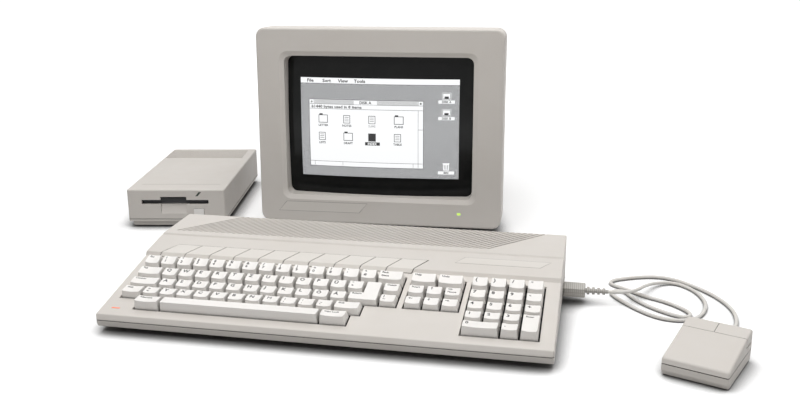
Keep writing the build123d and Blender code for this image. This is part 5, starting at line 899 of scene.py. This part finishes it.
def draw_window(picture, left, right, low, top):
    """Window with a title, a status line, scroll bars and two rows of items."""
    edge = WINDOW_FRAME
    picture.dark(left - edge, low - edge, right + edge, top + edge, PAPER)
    picture.pale(left, low, right, top, WINDOW)
    title = top - TITLE_H
    status = title - STATUS_H
    draw_title(picture, left, right, title, top)
    for level in (title, status):
        picture.dark(left, level, right, level + RULE, ON_WINDOW)
    picture.word(STATUS, left + STATUS_IN, status + STATUS_RISE, STATUS_SIZE, ON_WINDOW,
                 stretch=STATUS_STRETCH)
    draw_title_buttons(picture, left, right, title, top)
    draw_scroll_bars(picture, left, right, low, status)
    draw_items(picture, left, status)


def draw_disk(picture, x, y):
    """Outlined disk with its shutter."""
    for inset, draw, layer in (
            (0, picture.pale, PAPER),
            (DISK_EDGE, picture.dark, ON_PAPER),
            (2 * DISK_EDGE, picture.pale, DISK_FACE)):
        draw(x + inset, y + inset, x + DISK_W - inset, y + DISK_H - inset, layer)
    picture.dark(x + SHUTTER_IN, y + 2 * DISK_EDGE, x + DISK_W - SHUTTER_IN, y + SHUTTER_TOP, DISK_SHUTTER)


def draw_bin(picture, x, y):
    """Bin with a lid and ribs."""
    for inset, low, high in ((BIN_IN, 0, BIN_H), (LID_IN, BIN_H, LID_TOP)):
        picture.pale(x + inset, y + low, x + DISK_W - inset, y + high, PAPER)
    for line in range(RIBS):
        rib = x + RIB_IN + RIB_STEP * line
        picture.dark(rib, y + RIB_LOW, rib + RIB_W, y + RIB_TOP, ON_PAPER)


def draw_desktop_icon(picture, x, y, name, draw):
    """Disk or bin with its name on a label below."""
    picture.pale(x - LABEL_OUT, y - LABEL_LOW, x + DISK_W + LABEL_OUT, y - LABEL_TOP, PAPER)
    picture.word(name, x + DISK_W / 2, y - LABEL_DROP, NAME_SIZE, ON_PAPER, "CENTER")
    draw(picture, x, y)


def make_screen():
    picture = Picture()
    left, right, low, top = SCREEN
    bar = top - MENU_H
    picture.sheet.box(left, low, right, top, picture.grey, *DESKTOP)
    picture.pale(left, bar, right, top, PAPER)
    picture.dark(left, bar - RULE, right, bar, PAPER)
    for index, text in enumerate(MENU_WORDS):
        x = left + MENU_IN + MENU_STEP * index
        picture.word(text, x, bar + MENU_RISE, MENU_TEXT, ON_PAPER, stretch=MENU_STRETCH)
    draw_window(picture, left + WINDOW_LEFT, right - WINDOW_RIGHT, low + WINDOW_LOW, bar - WINDOW_TOP)
    x = right - DESKTOP_IN
    draw_desktop_icon(picture, x, bar - DISK_A_DOWN, "DISK A", draw_disk)
    draw_desktop_icon(picture, x, bar - DISK_B_DOWN, "DISK B", draw_disk)
    draw_desktop_icon(picture, x, low + BIN_UP, "BIN", draw_bin)
    picture.sheet.finish(ROOT, "glass")


# ---------------------------------------------------------------- bare plates
MONITOR_BADGE = [(25.8, 15.7), (139.8, 15.7), (151.2, 29.5), (37.2, 29.5)]
CONSOLE_BADGE = [(354.6, 138.5), (446.6, 138.5), (457.6, 152.0), (363.8, 152.0)]
DRIVE_TRIM = [(13.8, 29.5), (125.9, 29.5), (125.9, 30.7), (13.8, 30.7)]
RIM_X, RIM_Y = 0.5, 0.4                 # how far the rim shows round the face
RIM_LAYER, FACE_LAYER = (-0.10, 0.06), (0.05, 0.12)


def make_plates():
    """Bare plates where such machines carry a name."""
    rim = moulded("badge_rim", PLATE_RIM, rough=0.45, grain=0.3, depth=0.01)
    satin = moulded("badge_satin", PLATE_FACE, rough=0.36, grain=0.3, depth=0.008)
    for name, node, matrix, start, outline in (
            ("monitor_badge_plate", "monitor_bezel", MONITOR @ FRONT, 30, MONITOR_BADGE),
            ("console_badge_plate", "console_top_case", DESK, 90, CONSOLE_BADGE),
            ("drive_trim_line", "drive_top_cover", DRIVE, 90, DRIVE_TRIM)):
        sheet = Sheet(name, node, matrix, start)
        long_side = abs(outline[1][0] - outline[0][0])
        cells = (max(1, round(long_side / CELL)), 2)
        sheet.slab(outline, rim, *RIM_LAYER, cells)
        middle_x, middle_y = [sum(corner[axis] for corner in outline) / 4 for axis in (0, 1)]
        narrower = 1 - RIM_X / (long_side / 2)
        lower = 1 - RIM_Y / ((outline[2][1] - outline[1][1]) / 2)
        inner = [(middle_x + (x - middle_x) * narrower, middle_y + (y - middle_y) * lower)
                 for x, y in outline]
        sheet.slab(inner, satin, *FACE_LAYER, cells)
        sheet.finish(ROOT, "case_plastic")


# ---------------------------------------------------------------- cord
CORD_D, CORD_LENGTH = 3.8, 0.889        # in millimetres and in metres
# Route from the plug to the mouse, in the console's own millimetres.
CORD_FROM = (519.4, 184, 14.25)
CORD_ROUTE = [
    (533.4, 184, 14.25), (550, 196, 13.4), (561, 222, 10.5), (574, 250, 4), (594, 261, 1.9),
    (611, 247.5, 1.9), (622, 225.5, 1.9), (626, 197, 1.9), (620, 170, 1.9), (611, 155, 1.9),
    (600, 148, 1.9), (585, 146, 1.9), (569, 152, 1.9), (552, 167.5, 1.9), (537, 187.5, 1.9),
    (524, 208, 1.9), (523.5, 216, 1.9), (528.5, 222, 1.9), (535.5, 222.5, 1.9), (540.5, 217.5, 1.9),
    (544, 209, 1.9), (553, 193, 1.9), (567, 177, 1.9), (581, 165.5, 1.9), (592, 159, 1.9),
    (599, 156.5, 1.9), (605, 160, 1.9), (606.5, 168, 1.9), (602, 177, 1.9), (593, 188, 1.9),
    (578, 200.5, 1.9), (563, 208.5, 1.9), (552, 217.5, 1.9), (544, 225.5, 1.9), (535.5, 232.5, 1.9),
    (526.5, 238, 1.9), (522, 246, 1.9), (525, 254.5, 1.9), (534, 261, 1.9), (555, 272, 1.9),
    (575, 277, 1.9), (593, 273.5, 1.9), (611, 259, 1.9), (628, 240.5, 1.9), (643.5, 215, 1.9),
    (653.5, 184, 1.9), (652.5, 150, 1.9), (643, 121, 3.6), (633.03, 97.14, 9)]
CORD_TO = (627.9, 84.12, 9.0)


def make_cord():
    """The whole cord, drawn from the mouse to the plug, in place of the CAD's."""
    curve = bpy.data.curves.new("mouse_cord_line", "CURVE")
    curve.dimensions, curve.resolution_u = "3D", 10
    curve.bevel_depth, curve.bevel_resolution = CORD_D / 2 * MM, 5
    curve.use_fill_caps = True
    points = [CORD_TO] + CORD_ROUTE[::-1] + [CORD_FROM]
    spline = curve.splines.new("NURBS")
    spline.points.add(len(points) - 1)
    for point, at in zip(spline.points, points):
        point.co = (*(DESK @ (Vector(at) * MM)), 1)
    spline.order_u = 3
    spline.use_endpoint_u = True
    curve.materials.append(MATERIALS["cord_jacket"])
    cord = bpy.data.objects.new("mouse_cord_jacket", curve)
    SCENE.collection.objects.link(cord)
    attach(cord, ROOT)
    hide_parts("mouse_cord")


make_camera()
make_cord()
make_world()
for lamp in SOFTBOXES:
    softbox(*lamp)
make_floor()
dress_nodes()
print_all_keys(moulded("legend_ink", INK, grain=0.2, depth=0.004))
make_screen()
make_plates()

SCENE.view_settings.view_transform = "Standard"
